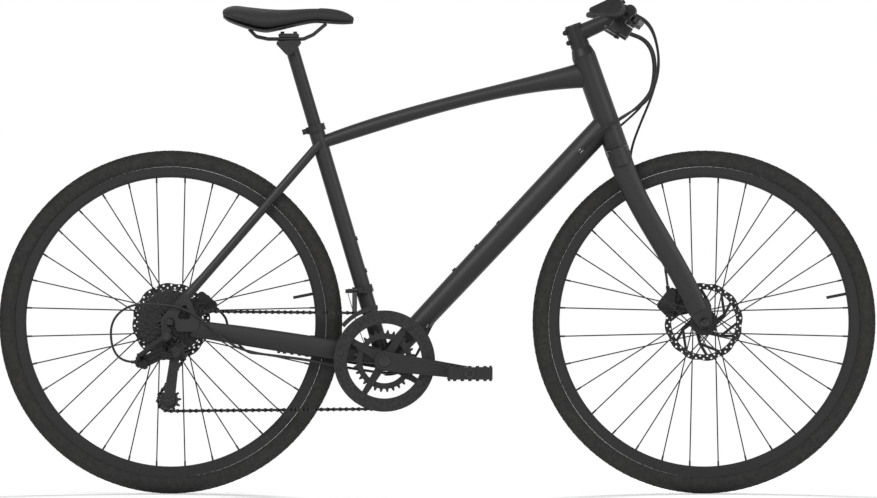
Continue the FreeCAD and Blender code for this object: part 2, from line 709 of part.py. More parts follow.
def headset():
    bore = steerer_radius + S.running_fit
    seat = S.head_tube_diameter / 2 - S.head_tube_wall - S.weld_gap
    rim = S.head_tube_diameter / 2
    flange = S.headset_flange
    lower = turned([(bore, 0), (rim, 0), (rim, flange - 0.05), (seat, flange - 0.05), (seat, flange + 10),
                    (bore, flange + 10)], along(on_steering(S.crown_top + S.seat_gap), head_up))
    upper = turned([(bore, -10), (seat, -10), (seat, 0.05), (rim, 0.05), (rim, flange), (bore, flange)],
                   along(on_steering(head_crest), head_up))
    node("headset_cups", group(lower, upper))
    clamp = steerer_radius + S.weld_gap
    cover = turned([(clamp, 0), (rim, 0), (rim - 1, 3), (clamp + 6, S.headset_cover_height),
                    (clamp, S.headset_cover_height)], along(on_steering(cover_base), head_up))
    spacer_at = cover_base + S.headset_cover_height
    spacer = turned([(clamp, 0.1), (clamp + 5, 0.1), (clamp + 5, S.spacer_height - 0.1),
                     (clamp, S.spacer_height - 0.1)], along(on_steering(spacer_at), head_up))
    cap_at = stem_base + S.stem_height + 0.1
    cap = turned([(0, 0), (clamp + 3, 0), (clamp + 2, 4), (5, 4), (5, 2), (0, 2)],
                 along(on_steering(cap_at), head_up))
    node("headset_spacers", group(cover, spacer, cap))


def fork():
    crown_at = axes_at(on_steering(S.crown_top - S.crown_height), head_ahead, head_up)
    radius = N.crown_diameter / 2
    half = N.blade_spacing / 2 - 6
    crown_blank = plate(hull((0, -half, radius - 3), (0, half, radius - 3)), S.crown_height, crown_at)
    steerer_length = stem_base + S.stem_height - S.crown_top - 3
    steerer = cylinder(steerer_radius, steerer_length + 6, on_steering(S.crown_top - 6), head_up)
    bore = cylinder(steerer_radius - S.steerer_wall, steerer_length + S.crown_height + 10,
                    on_steering(S.crown_top - S.crown_height - 3), head_up)
    neck = cone(S.crown_diameter / 2 - 1, S.crown_diameter / 2, S.crown_height * 0.6,
                on_steering(S.crown_top - S.crown_height * 0.6), head_up)
    node("fork_crown", cut(fuse(crown_blank, neck, steerer), bore))
    blades = []
    for side in (-1, 1):
        top = on_steering(S.crown_top - S.crown_height * 0.3) + LEFT * (side * N.blade_spacing / 2)
        tip_y = side * (N.front_spacing + N.fork_end_thickness) / 2
        foot = front_axle + LEFT * tip_y
        bend = on_steering(S.crown_top - S.crown_height - 12) + LEFT * (side * N.blade_spacing / 2)
        run = foot - bend
        axis = Vector(run).normalize()
        depth_axis = axis.cross(LEFT).normalize()
        head_depth_axis = (head_up * -1).cross(LEFT).normalize()
        sections = [ellipse(S.blade_depth + 2, S.blade_width, top, head_depth_axis, head_up * -1)]
        for share, slim in ((0, 0), (0.5, 0.4), (0.93, 1)):
            depth = S.blade_depth + (S.blade_tip_depth - S.blade_depth) * slim
            width = S.blade_width + (S.blade_tip_width - S.blade_width) * slim
            sections.append(ellipse(depth, width, bend + run * share, depth_axis, axis))
        outside = front_axle + LEFT * (side * N.front_spacing / 2 + (N.fork_end_thickness if side > 0 else 0))
        tip = plate(hull((0, 0, 15), (-5, 30, 19), (-17, 27, 17)), S.fork_end_thickness, side_at(outside))
        parts = [loft(sections), tip]
        slot_radius = N.axle_diameter / 2 + 0.2
        tools = [plate(hull((0, 0, slot_radius), (5, -30, slot_radius)), S.fork_end_thickness,
                       side_at(outside)), plate(hull((0, -half, radius - 2.95), (0, half, radius - 2.95)),
                                                S.crown_height, crown_at),
                 cone(S.crown_diameter / 2 - 0.95, S.crown_diameter / 2 + 0.05, S.crown_height * 0.6,
                      on_steering(S.crown_top - S.crown_height * 0.6), head_up)]
        if side > 0:
            parts.append(plate(hull((-34, 44, 14), (-64, 62, 8), (-64, 18, 8), (-26, 30, 12)),
                               S.fork_end_thickness, side_at(outside)))
            tools += caliper_bolt_holes(outside, FRONT_CALIPER_BOLTS)
        blades.append(cut(fuse(*parts), *tools))
    node("fork_blades", group(*blades))


def stem():
    base = on_steering(stem_base)
    start = on_steering(stem_base + S.stem_height / 2)
    depth_axis = stem_axis.cross(LEFT).normalize()
    clamp_width = 44
    clamp_radius = S.bar_clamp_diameter / 2 + S.stem_wall
    clamp_start = bar_centre + LEFT * (clamp_width / 2)
    bar_hole = cylinder(S.bar_clamp_diameter / 2 + S.weld_gap, clamp_width, clamp_start, -LEFT)
    collar = cylinder(steerer_radius + S.stem_wall, S.stem_height, base, head_up)
    steerer_hole = cylinder(steerer_radius + S.weld_gap, S.stem_height + 40, on_steering(stem_base - 20),
                            head_up)
    cap_space = cylinder(steerer_radius + 3.3, 30, on_steering(stem_base + S.stem_height), head_up)
    arm = loft([ellipse(S.stem_height * factor, width, start + stem_axis * (N.stem_length * share),
                        depth_axis, stem_axis)
                for share, factor, width in ((0, 0.97, 31), (0.5, 0.88, 30), (1, 0.93, 32))])
    slot = block(40, 2, S.stem_height + 4, start - head_ahead * (float(steerer_radius) + 9), head_ahead,
                 head_up)
    ears = []
    pinch = []
    bolt_holes = []
    for lift in (0.2, 0.8):
        bolt_at = on_steering(stem_base + S.stem_height * lift) - head_ahead * (float(steerer_radius) + 6)
        ears.append(cylinder(5.2, 18, bolt_at + LEFT * 9, -LEFT))
        pinch.append(fuse(cylinder(2.5, 22, bolt_at + LEFT * 10, -LEFT),
                          cylinder(4, 4, bolt_at + LEFT * 13.7, -LEFT)))
        bolt_holes.append(cylinder(2.6, 60, bolt_at + LEFT * 30, -LEFT))
    face_bolts = []
    front_lugs = []
    rear_lugs = []
    for y in (-15, 15):
        for lift in (-1, 1):
            line = bar_centre + LEFT * y + depth_axis * (lift * (N.bar_clamp_diameter / 2 + 5.5))
            face_bolts.append(fuse(cylinder(2.5, 24, line - stem_axis * 10, stem_axis),
                                   cylinder(4, 4, line + stem_axis * 12.1, stem_axis)))
            front_lugs.append(cylinder(5.5, 10.5, line + stem_axis * 1.5, stem_axis))
            rear_lugs.append(cylinder(5.5, 11, line - stem_axis * 12, stem_axis))
            bolt_holes.append(cylinder(2.6, 60, line - stem_axis * 30, stem_axis))
    front_half = block(60, 80, 80, bar_centre + stem_axis * 29, stem_axis, depth_axis)
    rear_half = block(60, 80, 80, bar_centre - stem_axis * 28.5, stem_axis, depth_axis)
    clamp = cylinder(clamp_radius, clamp_width, clamp_start, -LEFT)
    node("stem", cut(fuse(collar, arm, *ears, clamp, *rear_lugs), cap_space, steerer_hole, bar_hole, slot,
                     front_half, group(*bolt_holes)))
    face = fuse(cylinder(clamp_radius, clamp_width, clamp_start, -LEFT), *front_lugs)
    node("stem_face_plate", group(cut(face, bar_hole, rear_half, group(*bolt_holes)), *face_bolts, *pinch))


# handlebar and controls
def bar_side(side):
    """Where the bar's bend lies and which way its outer part runs, on one side."""
    sweep = math.radians(N.bar_sweep)
    lift = math.radians(N.bar_lift)
    bend = bar_centre + LEFT * (side * BAR_STRAIGHT)
    return bend, Vector(-math.sin(sweep), side * math.cos(sweep), math.sin(lift)).normalize()


def handlebar():
    middle = BAR_STRAIGHT + 2
    parts = [cylinder(S.bar_clamp_diameter / 2, 2 * middle, bar_centre + LEFT * middle, -LEFT)]
    bores = []
    grips = []
    tube = S.bar_diameter / 2
    for side in (-1, 1):
        bend, outward = bar_side(side)
        parts.append(cone(S.bar_clamp_diameter / 2 - 0.4, tube + 0.2, BAR_TAPER + 4, bend - outward * 4,
                          outward))
        parts.append(cylinder(tube, S.bar_reach - BAR_STRAIGHT - BAR_TAPER + 4,
                              bend + outward * (BAR_TAPER - 4), outward))
        bores.append(cylinder(tube - S.bar_wall, S.bar_reach, bend + outward * (BAR_TAPER + 4), outward))
        grips.append(grip(side, bend, outward))
    node("handlebar", cut(fuse(*parts), *bores))
    node("grips", group(*grips))


def grip_outline(side, wing, tail_radius):
    radius = N.grip_diameter / 2
    circles = ((0, 0, radius), (wing, -9 * side, tail_radius))
    return hull(*circles)


def grip(side, bend, outward):
    """An ergonomic grip whose palm wing grows towards the bar's end."""
    end = bend + outward * (N.bar_reach - BAR_STRAIGHT + 3)
    inner = end - outward * N.grip_length
    back = (FORWARD * -1 - outward * outward.dot(FORWARD * -1)).normalize()
    sections = []
    for share, wing, tail in ((0, 10, N.grip_diameter / 2 - 3), (0.35, N.grip_wing * 0.7, 7),
                              (1, N.grip_wing, 6)):
        place = axes_at(inner + (end - inner) * share, back, outward)
        wire = Part.Wire(Part.__sortEdges__([edge.toShape() for edge in grip_outline(side, wing, tail)]))
        wire.Placement = place
        sections.append(shape(wire))
    bore = cylinder(S.bar_diameter / 2 + S.weld_gap, S.grip_length - 3 + S.weld_gap, inner, outward)
    return cut(loft(sections), bore)


LEVER_TILT = math.radians(32)
POD_PLACE = N.bar_reach - 140
LEVER_PIVOT = (POD_PLACE - 2, 40)
SHIFT_PIVOT = (POD_PLACE - 18, 24)
lever_ahead = Vector(math.cos(LEVER_TILT), 0, -math.sin(LEVER_TILT))
lever_axis = Vector(math.sin(LEVER_TILT), 0, math.cos(LEVER_TILT))


def lever_frame(side, drop=0.0):
    """A flat frame in the lever's plane: X outward along the bar, Y ahead."""
    bend, outward = bar_side(side)
    flat_out = (outward - lever_axis * outward.dot(lever_axis)).normalize()
    base = bend - outward * BAR_STRAIGHT
    return base + lever_axis * drop, flat_out


def lever_plate(side, circles, thickness, drop):
    """A plate in the lever's plane with its middle at the given height over the bar's axis."""
    base, flat_out = lever_frame(side, drop - float(thickness) / 2)
    return plate(hull(*[(x, side * -y, r) for x, y, r in circles]), thickness,
                 axes_at(base, flat_out, lever_axis))


def lever_point(side, x, y, drop=0.0):
    base, flat_out = lever_frame(side, drop)
    return base + flat_out * x + lever_ahead * y


def brake_port(side):
    """Where the hose leaves the inner end of the master cylinder, and its first straight run."""
    return [lever_point(side, LEVER_PIVOT[0] - reach, 20, 12) for reach in (60.3, 76)]


def shift_port(side):
    """Where the housing leaves the inner face of the shifter, and its first straight run."""
    return [lever_point(side, LEVER_PIVOT[0] - reach, 30, -28) for reach in (46.4, 58)]


def controls():
    pods = []
    for side, name in ((-1, "right"), (1, "left")):
        bend, outward = bar_side(side)
        bar_at = bend + outward * (POD_PLACE - BAR_STRAIGHT)
        clamp = cylinder(S.bar_diameter / 2 + 5, 16, bar_at - outward * 8, outward)
        bar_hole = cylinder(S.bar_diameter / 2 + S.weld_gap, 120, bar_at - outward * 60, outward)
        cheek = 4
        px, py = LEVER_PIVOT
        gap = N.lever_thickness / 2 + 0.3
        cheeks = [lever_plate(side, ((px - 14, 6, 8), (px + 4, 6, 8), (px, py, 8)), cheek, level)
                  for level in (gap + cheek / 2, -gap - cheek / 2)]
        web = lever_plate(side, ((px - 18, 8, 7), (px + 2, 8, 7), (px - 18, 24, 6)), 2 * gap + 2, 0)
        pin = cylinder(S.lever_pin_diameter / 2, 2 * gap + 2 * cheek,
                       lever_point(side, px, py, -gap - cheek), lever_axis)
        inner_end = lever_point(side, px - 60, 20, 12)
        cylinder_body = cylinder(12, 44, inner_end, lever_point(side, px, 20, 12) - inner_end)
        housing = lever_plate(side, ((px - 34, 14, 11), (px - 8, 14, 11), (px - 6, 34, 12),
                                     (px - 36, 34, 10)), 22, -28)
        neck = lever_plate(side, ((px - 20, 4, 8), (px - 6, 4, 8), (px - 6, 18, 8), (px - 20, 18, 8)), 16,
                           -15)
        shift_pin = cylinder(3, 8, lever_point(side, *SHIFT_PIVOT, -46), lever_axis)
        pods.append(cut(fuse(clamp, *cheeks, web, pin, cylinder_body, housing, neck, shift_pin), bar_hole))
        blade = fuse(lever_plate(side, ((px, py, 8), (px + 24, py + 16, 6)), S.lever_thickness, 0),
                     lever_plate(side, ((px + 24, py + 16, 6), (px + 118, py + 12, 4.5)), S.lever_thickness,
                                 0), cylinder(6, S.lever_thickness + 2,
                                              lever_point(side, px + 121, py + 12,
                                                          -float(S.lever_thickness) / 2 - 1), lever_axis))
        pin_hole = cylinder(S.lever_pin_diameter / 2 + S.running_fit, 30, lever_point(side, px, py, -15),
                            lever_axis)
        node(f"brake_lever_{name}", cut(blade, pin_hole))
        sx, sy = SHIFT_PIVOT
        paddle = lever_plate(side, ((sx, sy, 8), (sx + 26, sy - 20, 7), (sx + 10, sy - 22, 8)), 5, -42.2)
        shift_hole = cylinder(3 + S.running_fit, 30, lever_point(side, sx, sy, -55), lever_axis)
        node(f"shift_lever_{name}", cut(paddle, shift_hole))
    node("control_pods", group(*pods))


# wheels
RIM_HOOK = 5
TYRE_WALL = 3.5
GROOVES = (-7, 0, 7)


def wheel(name, axle, left_flange, right_flange, rotor_offset, right_end):
    """A spoked wheel with its tyre, rim, spokes, hub shell and brake rotor."""
    seat = S.bead_seat_radius
    lip = seat + RIM_HOOK
    middle = seat + S.tyre_width / 2
    half = S.rim_width / 2
    channel = half - S.rim_wall
    gap = 0.2
    rim_space = turned([(250, -40), (lip + gap, -40), (lip + gap, gap - channel),
                        (seat + gap, gap - channel), (seat + gap, channel - gap),
                        (lip + gap, channel - gap), (lip + gap, 40), (250, 40)], side_at(axle))
    crown = N.tyre_width / 2
    grooves = []
    for offset in GROOVES:
        groove = torus(middle + math.sqrt(crown ** 2 - offset ** 2), 1.2, axle)
        groove.Placement = side_at(axle - LEFT * offset)
        grooves.append(groove)
    casing = cut(torus(middle, S.tyre_width / 2, axle), torus(middle, S.tyre_width / 2 - TYRE_WALL, axle),
                 rim_space, *grooves)
    node(f"{name}_tyre", casing)

    bed = lip - S.rim_depth
    outline = [(bed, -6), (bed, 6), (bed + 6, half - 0.6), (lip, half), (lip, channel), (seat, channel),
               (seat, channel * -1), (lip, channel * -1), (lip, half * -1), (bed + 6, 0.6 - half)]
    hollow = [(bed + 1.8, -5), (bed + 1.8, 5), (seat - 2, channel - 1), (seat - 2, 1 - channel)]
    nipple_gap = N.nipple_width + 0.8
    holes = []
    bed_radius = float(bed)
    for i in range(SPOKES):
        angle = 2 * math.pi * (i + 0.5) / SPOKES
        outward = Vector(math.cos(angle), 0, math.sin(angle))
        holes.append(block(6, nipple_gap, nipple_gap,
                           axle + outward * (bed_radius + 1) + LEFT * rim_hole_side(i), outward, LEFT))
    valve_angle = 2 * math.pi / SPOKES
    valve_out = Vector(math.cos(valve_angle), 0, math.sin(valve_angle))
    valve_hole = cylinder(3.4, 40, axle + valve_out * (bed_radius - 10), valve_out)
    valve = cylinder(3, 56, axle + valve_out * (bed_radius - 40), valve_out)
    node(f"{name}_rim", group(cut(turned(outline, side_at(axle), hollow), group(*holes), valve_hole), valve))
    node(f"{name}_spokes", spokes(axle, left_flange, right_flange, bed_radius))

    bore = S.hub_axle_diameter / 2 + S.running_fit
    flange = S.spoke_circle + 4
    thick = S.flange_thickness / 2
    face = S.rotor_thickness / 2 - rotor_offset
    shell = [(bore, face - S.rotor_thickness - 1), (17, face - S.rotor_thickness - 1), (17, face),
             (26, face), (26, face + 3), (18, face + 3), (18, thick * -1 - left_flange),
             (flange, thick * -1 - left_flange), (flange, thick - left_flange), (19, thick - left_flange),
             (S.hub_barrel, thick - left_flange + 4), (S.hub_barrel, right_flange - thick - 4),
             (19, right_flange - thick), (flange, right_flange - thick), (flange, right_flange + thick),
             (16, right_flange + thick), (15, right_end), (bore, right_end)]
    node(f"{name}_hub", turned(shell, side_at(axle)))
    node(f"{name}_rotor", rotor(axle, rotor_offset))


def rim_hole_side(i):
    return -1.5 if i % 2 == 0 else 1.5


def spokes(axle, left_flange, right_flange, bed_radius):
    """Three-cross lacing: even rim holes go to the right flange, odd ones to the left."""
    cross = 3 * 2 * math.pi / (SPOKES / 2)
    rods = []
    inside = N.flange_thickness / 2 + N.spoke_diameter / 2 + N.weld_gap
    outside = inside + 1.4
    for i in range(SPOKES):
        trailing = (i // 2) % 2 == 0
        rim_angle = 2 * math.pi * (i + 0.5) / SPOKES
        hub_angle = rim_angle + (cross if trailing else -cross)
        flange_y = -float(right_flange) if i % 2 == 0 else float(left_flange)
        outward = math.copysign(1, flange_y)
        hub_y = flange_y + outward * (outside if trailing else -inside)
        hub_x, hub_z = polar(N.spoke_circle, hub_angle)
        rim_x, rim_z = polar(bed_radius + 3, rim_angle)
        start = axle + Vector(hub_x, hub_y, hub_z)
        end = axle + Vector(rim_x, rim_hole_side(i), rim_z)
        run = (end - start).normalize()
        rod = bind(doc.addObject("Part::Prism", "spoke"), Circumradius=S.spoke_diameter / 2,
                   Height=(end - start).Length)
        rod.Polygon = 6
        rod.Placement = along(start, run)
        nipple = block(14, S.nipple_width, S.nipple_width, end - run * 7, run, run.cross(LEFT).normalize())
        rods.append(fuse(rod, nipple))
    return group(*rods)


ROTOR_ARMS = 6
ROTOR_WAVES = 12
ROTOR_HOLES = 30


def wavy_edge(radius, depth, waves):
    """Crests and dips round a disc, each one arc."""
    edges = []
    step = 2 * math.pi / waves
    for i in range(waves):
        marks = [step * (i + share) for share in (0, 0.31, 0.62, 0.81, 1)]
        reach = [radius - depth / 2, radius, radius - depth / 2, radius - depth, radius - depth / 2]
        places = [Vector(*polar(r, angle), 0) for r, angle in zip(reach, marks)]
        edges.append(Part.Arc(*places[:3]))
        edges.append(Part.Arc(*places[2:]))
    return edges


def rotor(axle, rotor_offset):
    """A wavy disc with two rows of holes, forked arms and a bolted centre."""
    start = axle + LEFT * (float(rotor_offset) + N.rotor_thickness / 2)
    track_inner = N.rotor_radius - N.rotor_track
    track = plate(wavy_edge(N.rotor_radius, 2.4, ROTOR_WAVES) + [circle_edge(0, 0, track_inner)],
                  S.rotor_thickness, side_at(start))
    parts = [track, cylinder(27, S.rotor_thickness, start, -LEFT)]
    for i in range(ROTOR_ARMS):
        angle = 2 * math.pi * i / ROTOR_ARMS
        foot = polar(24, angle)
        fork = polar(45, angle + 0.35)
        for reach, width in ((0.62, 3), (1.02, 2.6)):
            tip = polar(track_inner + 2.5, angle + reach)
            parts.append(plate(hull((*fork, 3), (*tip, width)), S.rotor_thickness, side_at(start)))
        parts.append(plate(hull((*foot, 4.5), (*fork, 3)), S.rotor_thickness, side_at(start)))
    holes = []
    for row, (reach, radius) in enumerate(((3.7, 1.9), (9.2, 2.2))):
        for i in range(ROTOR_HOLES):
            hole = bind(doc.addObject("Part::Prism", "hole"), Circumradius=radius, Height=S.rotor_thickness)
            hole.Polygon = 6
            x, z = polar(track_inner + reach, 2 * math.pi * (i + row / 2) / ROTOR_HOLES)
            hole.Placement = along(start + Vector(x, 0, z), -LEFT)
            holes.append(hole)
    bore = cylinder(17 + S.weld_gap, S.rotor_thickness, start, -LEFT)
    bolts = []
    for i in range(ROTOR_ARMS):
        x, z = polar(22, 2 * math.pi * i / ROTOR_ARMS)
        bolts.append(cylinder(3.2, 2.2, start + Vector(x, 2.25, z), -LEFT))
    return group(cut(fuse(*parts), group(*holes), bore), *bolts)


def axle_set(name, axle, spacing, plate_thickness):
    """A hollow axle with its cones, and a skewer with a head and a nut."""
    half = spacing / 2
    cone_radius = S.hub_axle_diameter / 2
    pin = S.axle_diameter / 2
    skewer = 2.5
    reach = half + plate_thickness - 1
    barrel = [(skewer + 0.2, reach * -1), (pin, reach * -1), (pin, half * -1 + 0.1),
              (cone_radius, half * -1 + 0.1), (cone_radius, half - 0.1), (pin, half - 0.1), (pin, reach),
              (skewer + 0.2, reach)]
    outer = half + plate_thickness + 0.1
    rod = [(0, outer * -1 - 12), (5, outer * -1 - 12), (9, outer * -1 - 8), (9, outer * -1),
           (skewer, outer * -1), (skewer, outer), (9, outer), (9, outer + 7), (6, outer + 13),
           (0, outer + 13)]
    node(f"{name}_axle", group(turned(barrel, side_at(axle)), turned(rod, side_at(axle))))


# drive: the chain's path over ring, cog and pulleys, seen from the drive side in X and Z
GUIDE_PLACE = (10.5, -61)
CHAIN_HALF_WIDTH = N.chain_inner_width / 2 + 2 * N.plate_thickness + 0.1


def pitch_radius(teeth):
    return N.chain_pitch / (2 * math.sin(math.pi / teeth))


def chain_track(cage_angle):
    """Tangent lines and arcs as (length, point function) pieces, in the order that the chain runs."""
    guide = (rear_axle.x + GUIDE_PLACE[0], rear_axle.z + GUIDE_PLACE[1])
    tension = (guide[0] + N.cage_length * math.cos(cage_angle),
               guide[1] + N.cage_length * math.sin(cage_angle))
    wheels = (((bracket.x, bracket.z), pitch_radius(TEETH_RING), 1),
              ((rear_axle.x, rear_axle.z), pitch_radius(TEETH_COGS[0]), 1),
              (guide, pitch_radius(TEETH_PULLEY), -1), (tension, pitch_radius(TEETH_PULLEY), 1))
    runs = []
    for i, ((x1, z1), r1, turn_1) in enumerate(wheels):
        (x2, z2), r2, turn_2 = wheels[(i + 1) % len(wheels)]
        distance = math.hypot(x2 - x1, z2 - z1)
        heading = math.atan2(z2 - z1, x2 - x1) - math.asin((turn_2 * r2 - turn_1 * r1) / distance)
        normal = heading - math.pi / 2
        start = (x1 + turn_1 * r1 * math.cos(normal), z1 + turn_1 * r1 * math.sin(normal))
        end = (x2 + turn_2 * r2 * math.cos(normal), z2 + turn_2 * r2 * math.sin(normal))
        runs.append((start, end, normal))
    track = []
    for i, (start, end, normal) in enumerate(runs):
        length = math.dist(start, end)
        track.append((length, lambda s, a=start, b=end,
                      n=length: (a[0] + (b[0] - a[0]) * s / n, a[1] + (b[1] - a[1]) * s / n)))
        centre, radius, turn = wheels[(i + 1) % len(wheels)]
        flip = 0 if turn > 0 else math.pi
        sweep = (turn * (runs[(i + 1) % len(runs)][2] - normal)) % (2 * math.pi)
        track.append((radius * sweep, lambda s, c=centre, r=radius, a=normal + flip, t=turn:
                      (c[0] + r * math.cos(a + t * s / r), c[1] + r * math.sin(a + t * s / r))))
    return track, tension


def point_on(track, distance):
    total = sum(length for length, place in track)
    distance %= total
    for length, place in track:
        if distance <= length:
            return place(distance)
        distance -= length
    return track[0][1](0)


def chain_pins(track, count):
    """Pins stepped one pitch apart along the track, and how far the last step misses the first pin."""
    total = sum(length for length, place in track)
    marks = [0.0]
    for _ in range(count):
        here = point_on(track, marks[-1])
        low = marks[-1] + 0.9 * N.chain_pitch
        high = marks[-1] + 1.3 * N.chain_pitch
        for _ in range(40):
            middle = (low + high) / 2
            if math.dist(here, point_on(track, middle)) < N.chain_pitch:
                low = middle
            else:
                high = middle
        marks.append(low)
    return [point_on(track, mark) for mark in marks[:-1]], marks[-1] - total


def closed_chain():
    """The cage angle near the photographed one at which an even number of links closes exactly."""
    nominal = math.radians(263)
    length = sum(piece[0] for piece in chain_track(nominal)[0])
    count = 2 * round(length / N.chain_pitch / 2)
    low = nominal - 0.5
    high = nominal + 0.5
    rising = chain_pins(chain_track(high)[0], count)[1] < chain_pins(chain_track(low)[0], count)[1]
    for _ in range(40):
        middle = (low + high) / 2
        miss = chain_pins(chain_track(middle)[0], count)[1]
        if (miss > 0) == rising:
            low = middle
        else:
            high = middle
    track, tension = chain_track(low)
    return chain_pins(track, count)[0], low, tension


PINS, CAGE_ANGLE, TENSION_PLACE = closed_chain()


def tooth_phase(centre, teeth):
    """The angle of a chain pin that lies on this sprocket, so that the teeth stand between pins."""
    radius = pitch_radius(teeth)
    offsets = [(x - centre[0], z - centre[1]) for x, z in PINS]
    nearest = min(offsets, key=lambda place: abs(math.hypot(*place) - radius))
    return math.atan2(nearest[1], nearest[0])


def sprocket_edges(teeth, phase):
    """Four edges to a tooth: the roller's seat, two flanks and a flat tip."""
    radius = pitch_radius(teeth)
    seat = N.roller_diameter / 2 + 0.37
    corners = []
    for i in range(teeth):
        angle = phase + 2 * math.pi * i / teeth
        dip = 0.62 * seat / radius
        tip = 0.78 * math.pi / teeth
        corners += [polar(radius + 2.6, angle - tip), polar(radius - seat, angle - dip),
                    polar(radius - seat, angle + dip), polar(radius + 2.6, angle + tip)]
    return polygon(corners)


def sprocket(teeth, phase, centre, bore, thickness):
    """A toothed plate whose middle plane holds the given centre."""
    near = centre + LEFT * (float(thickness) / 2)
    return plate(sprocket_edges(teeth, phase) + [circle_edge(0, 0, bore)], thickness, side_at(near))


def chain():
    links = []
    count = len(PINS)
    depth = N.plate_depth / 2
    for i, (x, z) in enumerate(PINS):
        next_x, next_z = PINS[(i + 1) % count]
        heading = Vector(next_x - x, 0, next_z - z).normalize()
        inner = i % 2 == 0
        gap = N.chain_inner_width / 2 if inner else N.chain_inner_width / 2 + N.plate_thickness + 0.1
        pin = Vector(x, -N.chain_line, z)
        frame = axes_at(pin, heading, -LEFT)
        ends = polygon([(-depth, 0), (-0.4 * depth, depth), (N.chain_pitch + 0.4 * depth, depth),
                        (N.chain_pitch + depth, 0), (N.chain_pitch + 0.4 * depth, -depth),
                        (-0.4 * depth, -depth)])
        face = Part.Face(Part.Wire(Part.__sortEdges__([edge.toShape() for edge in ends])))
        for level in (gap, -gap - N.plate_thickness):
            cheek = face.extrude(Vector(0, 0, N.plate_thickness))
            cheek.Placement = frame.multiply(Placement(Vector(0, 0, level), Rotation()))
            links.append(cheek)
        if inner:
            for reach in (0, N.chain_pitch):
                roller = polygon([polar(N.roller_diameter / 2, math.pi / 6 + k * math.pi / 3)
                                  for k in range(6)])
                roller_face = Part.Face(Part.Wire(Part.__sortEdges__([edge.toShape() for edge in roller])))
                tube = roller_face.extrude(Vector(0, 0, N.chain_inner_width - 0.1))
                tube.Placement = frame.multiply(Placement(Vector(reach, 0, 0.05 - N.chain_inner_width / 2),
                                                          Rotation()))
                links.append(tube)
    node("chain", shape(Part.makeCompound(links)))


def cassette():
    phase = tooth_phase((rear_axle.x, rear_axle.z), TEETH_COGS[0])
    core = 16
    cogs = []
    for i, teeth in enumerate(TEETH_COGS):
        centre = rear_axle - LEFT * (N.chain_line - i * N.cog_spacing)
        cogs.append(sprocket(teeth, phase + 0.3 * i, centre, core, S.sprocket_thickness))
    low = S.chain_line - (len(TEETH_COGS) - 1) * S.cog_spacing - 2.2
    high = S.chain_line + 4
    bore = S.hub_axle_diameter / 2 + S.running_fit
    carrier = turned([(bore, low), (core, low), (core, high - 3), (core + 1, high - 3), (core + 1, high),
                      (bore, high)], side_at(rear_axle))
    node("cassette", group(fuse(carrier, *cogs)))


CRANK_ANGLE = math.radians(-8)
SPIDER_ARMS = 4
SPIDER_TURN = math.radians(58)
RING_BOLT_CIRCLE = 84
INNER_BOLT_CIRCLE = 51
RING_BORE = 76
INNER_BORE = 45


def crankset():
    arm_face = N.chain_line + 10
    plane = {TEETH_RING: N.chain_line, TEETH_INNER: N.chain_line - N.ring_spacing}
    phase = tooth_phase((bracket.x, bracket.z), TEETH_RING)
    half = N.sprocket_thickness / 2
    spider_inner = plane[TEETH_INNER] + half + 0.05
    spider_outer = plane[TEETH_RING] - half - 0.05
    start = bracket - LEFT * spider_inner
    parts = [cylinder(20, arm_face - spider_inner, start, -LEFT)]
    bosses = []
    for i in range(SPIDER_ARMS):
        angle = SPIDER_TURN + 2 * math.pi * i / SPIDER_ARMS
        tip = polar(RING_BOLT_CIRCLE, angle)
        parts.append(plate(hull((*polar(14, angle), 9), (*tip, 5.5)), spider_outer - spider_inner,
                           side_at(start)))
        bosses.append((*tip, spider_outer - 0.5, N.chain_line + CHAIN_HALF_WIDTH + 0.6 + N.guard_thickness
                       + 1))
        bosses.append((*polar(INNER_BOLT_CIRCLE, angle), plane[TEETH_INNER] - half - 1.5, spider_inner + 0.5))
    for x, z, inner_y, outer_y in bosses:
        parts.append(cylinder(3.5, outer_y - inner_y, bracket + Vector(x, -inner_y, z), -LEFT))
    pedal = polar(N.crank_length, CRANK_ANGLE)
    arm_outer = arm_face + N.crank_thickness
    parts.append(plate(hull((0, 0, 20), (*pedal, 13)), S.crank_thickness, side_at(bracket - LEFT * arm_face)))
    parts.append(cylinder(S.pedal_spindle_diameter / 2, S.pedal_width + 6,
                          bracket + Vector(pedal[0], 2 - arm_outer, pedal[1]), -LEFT))
    parts.append(cylinder(S.spindle_diameter / 2, 2 * arm_face + 4, bracket + LEFT * (arm_face + 2), -LEFT))
    node("crank_arm_right", fuse(*parts))
    left_blank = plate(hull((0, 0, 18), (-pedal[0], -pedal[1], 13)), S.crank_thickness,
                       side_at(bracket + LEFT * arm_outer))
    left_pin = cylinder(S.pedal_spindle_diameter / 2, S.pedal_width + 6,
                        bracket + Vector(-pedal[0], arm_outer - 2, -pedal[1]), LEFT)
    spindle_hole = cylinder(S.spindle_diameter / 2 + S.weld_gap, 60, bracket + LEFT * (arm_face + 2.05),
                            -LEFT)
    node("crank_arm_left", cut(fuse(left_blank, left_pin), spindle_hole))

    def boss_holes(y):
        return group(*[cylinder(3.5 + S.weld_gap, 60, bracket + Vector(x, 30 - y, z), -LEFT)
                       for x, z, inner_y, outer_y in bosses if inner_y < y < outer_y])

    rings = []
    for teeth, bore in ((TEETH_RING, RING_BORE), (TEETH_INNER, INNER_BORE)):
        ring = sprocket(teeth, phase, bracket - LEFT * plane[teeth], bore, S.sprocket_thickness)
        rings.append(cut(ring, boss_holes(plane[teeth])))
    guard_y = N.chain_line + CHAIN_HALF_WIDTH + 0.6
    guard_start = bracket - LEFT * guard_y
    guard = cut(cylinder(S.guard_radius, S.guard_thickness, guard_start, -LEFT),
                cylinder(RING_BORE, S.guard_thickness, guard_start, -LEFT), boss_holes(guard_y + 1))
    node("chainrings", group(*rings, guard))
    pedals(pedal, arm_outer)


PEDAL_TILT = math.radians(8)


